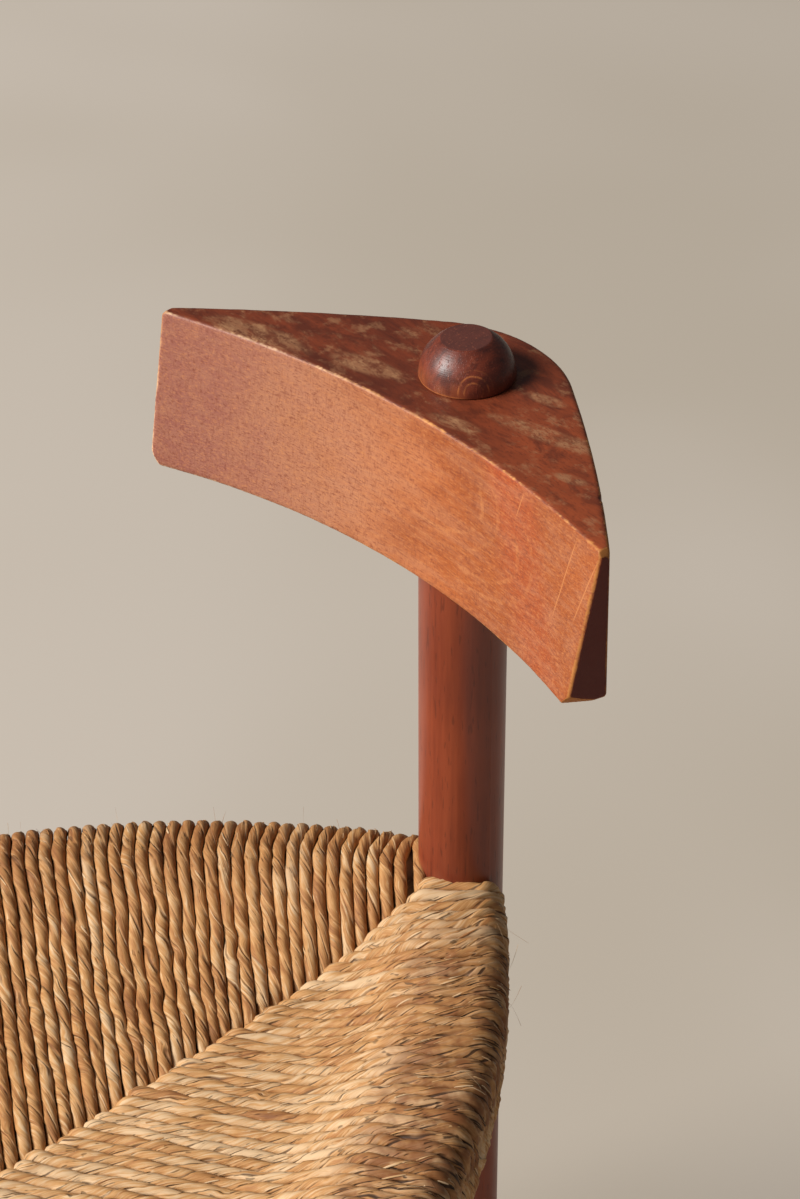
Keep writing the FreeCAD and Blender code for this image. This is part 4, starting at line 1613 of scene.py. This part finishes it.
@dataclass
class BackBlock:
    """The thick crescent on the post, with soft, dented edges, in metres.

    The slant is a direction that none of its faces looks in. Each tip cut takes a corner off an end: the
    way that it faces, and its depth.
    """

    node: str = "back_block"
    cell: float = 0.00088
    merged: float = 0.000005
    dent: float = 0.00016
    edge_reach: float = 0.0010
    slant: Place = (0.36, 0.48, 0.80)
    around: int = 6
    nick: Place = WornBeech.nick
    nick_radius: float = 0.0026
    nick_depth: float = 0.0010
    end_wear: tuple[float, float] = (0.106, 0.115)
    tip_cuts: tuple[tuple[Place, float], ...] = (
        ((0.70, -0.45, -0.60), 0.0026),
        ((-0.70, -0.45, -0.60), 0.0032),
        ((0.80, -0.10, 0.59), 0.0010),
        ((-0.80, -0.10, 0.59), 0.0012),
    )

    def build(self, material: bpy.types.Material) -> None:
        """Makes the block from the frame's, as an even mesh that knows how near its edges are."""
        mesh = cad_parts[self.node].data.copy()
        editable = bmesh.new()
        editable.from_mesh(mesh)
        bmesh.ops.remove_doubles(editable, verts=editable.verts, dist=self.merged)
        editable.to_mesh(mesh)
        surface = BVHTree.FromBMesh(editable)
        editable.free()
        holder = new_object("block_source", mesh)
        remesh = holder.modifiers.new("Even", "REMESH")
        remesh.mode, remesh.voxel_size, remesh.use_smooth_shade = "VOXEL", self.cell, True
        even = settled(holder)
        self.wear(even, surface)
        smooth(even)
        piece = new_object("worn_back_block", even)
        dress(piece, material)
        hand_over(piece, self.node)

    def wear(self, mesh: bpy.types.Mesh, surface: BVHTree) -> None:
        """Dents the edges and tips, and stores how near each vertex is to one.

        Args:
            mesh: the even mesh.
            surface: the block's exact surface.
        """
        nearest = [surface.find_nearest(vertex.co) for vertex in mesh.vertices]
        places, normals = (np.array([tuple(found[part]) for found in nearest]) for part in (0, 1))
        # an edge is where the surface turns within a short reach
        aside = unit(np.cross(normals, self.slant))
        across = np.cross(normals, aside)
        mean = normals.copy()
        for turn in np.arange(self.around) * FULL_TURN / self.around:
            beside = places + (aside * math.cos(turn) + across * math.sin(turn)) * self.edge_reach
            mean += np.array([tuple(surface.find_nearest(place)[1]) for place in beside.tolist()])
        edge = 1 - np.linalg.norm(mean, axis=-1) / (self.around + 1)
        bumps = np.array([noise.fractal(Vector(place) * 60.0, 0.9, 2.2, 3) for place in places])
        depth = self.dent * np.clip(edge * 8, 0, 1) * np.clip(bumps + 0.45, 0, 1)
        depth += self.nick_depth * eased(np.linalg.norm(places - self.nick, axis=-1), self.nick_radius, 0.0)
        places = places - normals * depth[:, None]
        edge *= 1 + 0.4 * eased(np.abs(places[:, 0]), *self.end_wear)
        for facing, cut in self.tip_cuts:
            way = unit(np.array(facing))
            past = places @ way - (places @ way).max() + cut
            places -= np.clip(past, 0.0, None)[:, None] * way * 0.9
            edge = edge + 0.12 * eased(past, -0.0004, 0.0004)
        mesh.vertices.foreach_set("co", places.astype(np.float32).ravel())
        mesh.update()
        add_values(mesh, "edge", edge)


@dataclass
class PostCap:
    """The turned cap on the block, in metres: a low, bulged dome with a flat, slipped and tilted a little."""

    node: str = "post_cap"
    axis: tuple[float, float] = (0.0006, 0.2157)
    foot: float = DarkTurnedWood.foot[2]
    height: float = DarkTurnedWood.height
    base_radius: float = 0.0184
    widest: float = 0.0189
    widest_height: float = 0.0007
    flat_radius: float = 0.0098
    flat_rings: tuple[float, ...] = (0.975, 0.95, 0.8, 0.6, 0.4, 0.2, 0.0)
    bulge: float = 0.0025
    tilt: float = math.radians(2.5)
    tilt_way: tuple[float, float] = DarkTurnedWood.lit_way
    slip: float = 0.0006
    wobble: float = 0.00012
    wobble_scale: float = 160.0
    segments: int = 112

    def side(self) -> list[tuple[float, float]]:
        """Radius and height of points up the cap's side."""
        swell = self.widest - self.base_radius
        under = [
            (self.widest - swell * (1 - math.sin(part * math.pi / 2)), self.widest_height * part)
            for part in np.linspace(0, 1, 7)
        ]
        start, end = np.array([self.widest, self.widest_height]), np.array([self.flat_radius, self.height])
        chord = end - start
        out = np.array([chord[1], -chord[0]]) / np.linalg.norm(chord) * self.bulge
        over = [tuple(start + chord * part + out * 4 * part * (1 - part)) for part in np.linspace(0, 1, 25)]
        return under + over[1:]

    def build(self, material: bpy.types.Material) -> None:
        """Makes the cap by turning its side about the post's axis."""
        editable = bmesh.new()
        inside = [(self.flat_radius * share, self.height) for share in self.flat_rings]
        closed = [(0.0, 0.0), (self.base_radius / 2, 0.0), *self.side(), *inside]
        points = [editable.verts.new((radius, 0.0, z)) for radius, z in closed]
        edges = [editable.edges.new(pair) for pair in zip(points, points[1:])]
        bmesh.ops.spin(
            editable, geom=[*points, *edges], cent=(0, 0, 0), axis=(0, 0, 1), angle=FULL_TURN,
            steps=self.segments, use_merge=True,
        )
        bmesh.ops.remove_doubles(editable, verts=editable.verts, dist=0.00001)
        bmesh.ops.recalc_face_normals(editable, faces=editable.faces)
        way_x, way_y = self.tilt_way
        for vertex in editable.verts:
            share = float(eased(np.array(vertex.co.z), self.widest_height, self.height))
            lean = vertex.co.x * way_x + vertex.co.y * way_y + self.flat_radius
            vertex.co.z -= lean * math.tan(self.tilt) * share
            vertex.co.x += way_x * self.slip * share
            vertex.co.y += way_y * self.slip * share
            wobble = noise.noise(Vector(vertex.co) * self.wobble_scale) * self.wobble
            vertex.co.x *= 1 + wobble / self.widest
            vertex.co.y *= 1 + wobble / self.widest
            vertex.co += Vector((*self.axis, self.foot))
        mesh = bpy.data.meshes.new("turned_cap")
        editable.to_mesh(mesh)
        editable.free()
        smooth(mesh)
        piece = new_object("turned_cap", mesh)
        dress(piece, material)
        hand_over(piece, self.node)


@dataclass
class Woodwork:
    """The frame's own legs, post, rails and dowels, which only need their finish."""

    dowel: RawBeech = RawBeech("dowel_beech", (0.66, 0.48, 0.30), (0.50, 0.34, 0.20))

    def dress(self) -> None:
        """Gives each of them its material, by the last word of its name."""
        stained, raw, dowel = (finish.material() for finish in (StainedBeech(), RawBeech(), self.dowel))
        finishes = {"post": stained, "leg": stained, "rail": raw, "dowels": dowel}
        for name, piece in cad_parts.items():
            material = finishes.get(name.rsplit("_", 1)[-1])
            if material is not None:
                dress(piece, material)
                LOG.info("%s: dressed", name)


# The studio


@dataclass(frozen=True)
class SoftLight:
    """A square soft light that looks at the rear post."""

    name: str
    place: Place
    size: float
    power: float
    colour: Colour = (1.0, 1.0, 1.0)
    aim: Place = (0.0, 0.15, 0.5)

    def build(self) -> None:
        """Makes the light."""
        lamp = bpy.data.lights.new(self.name, "AREA")
        lamp.energy, lamp.size, lamp.color = self.power, self.size, self.colour
        holder = new_object(self.name, lamp)
        holder.location = self.place
        holder.rotation_euler = (Vector(self.aim) - Vector(self.place)).to_track_quat("-Z", "Y").to_euler()


@dataclass(frozen=True)
class Studio:
    """Floor, light and the camera at the photograph's angle."""

    azimuth: float = math.radians(49.80)
    pitch: float = math.radians(35.45)
    roll: float = math.radians(-0.27)
    place: Place = (0.8147, -0.5066, 1.349)
    lens: float = 99.95
    sensor: float = 36.0
    world: Colour = (0.93, 0.96, 1.0)
    world_strength: float = 0.10
    floor_size: float = 24.0
    key: SoftLight = SoftLight("key", (-4.02, -8.93, 7.24), 5.6, 2330.0, (1.0, 0.97, 0.93))

    def build(self) -> None:
        """Makes the studio."""
        self.floor()
        self.camera()
        self.key.build()
        world = bpy.data.worlds.new("studio")
        world.use_nodes = True
        sky = world.node_tree.nodes["Background"]
        sky.inputs["Color"].default_value = (*self.world, 1.0)
        sky.inputs["Strength"].default_value = self.world_strength
        bpy.context.scene.world = world
        bpy.context.scene.view_settings.view_transform = "Standard"

    def floor(self) -> None:
        """Makes the floor."""
        mesh = bpy.data.meshes.new("floor")
        half = self.floor_size / 2
        corners = [(-half, -half, 0), (half, -half, 0), (half, half, 0), (-half, half, 0)]
        mesh.from_pydata(corners, [], [(0, 1, 2, 3)])
        mesh.materials.append(PaleFloor().material())
        new_object("floor", mesh)

    def camera(self) -> None:
        """Makes the camera."""
        camera = bpy.data.cameras.new("camera")
        camera.lens, camera.sensor_width, camera.sensor_fit = self.lens, self.sensor, "AUTO"
        holder = new_object("camera", camera)
        level = math.cos(self.pitch)
        back = Vector((math.sin(self.azimuth) * level, -math.cos(self.azimuth) * level, math.sin(self.pitch)))
        right = (-back).cross(Vector((0, 0, 1))).normalized()
        up = back.cross(right)
        rolled = right * math.cos(self.roll) + up * math.sin(self.roll)
        upright = up * math.cos(self.roll) - right * math.sin(self.roll)
        turn = Matrix((rolled, upright, back)).transposed().to_4x4()
        holder.matrix_world = Matrix.Translation(self.place) @ turn
        bpy.context.scene.camera = holder


def main() -> None:
    """Builds the chair around its frame, piece by piece."""
    logging.basicConfig(level=logging.INFO, format="%(name)s: %(message)s")
    Woodwork().dress()
    BackBlock().build(WornBeech().material())
    PostCap().build(DarkTurnedWood().material())
    shape = SeatShape()
    rush, loose = RushLeaf().material(), LooseRush().material()
    for number, side in enumerate(Side):
        panel = RushPanel(side, shape, seed=11 + number)
        panel.build(rush)
        FrayedLeaves(panel, seed=31 + number, count=round(500 + 1300 * panel.look.torn)).build(rush)
        Padding(side, shape).build(loose)
    Studio().build()


if __name__ == "__main__":
    main()
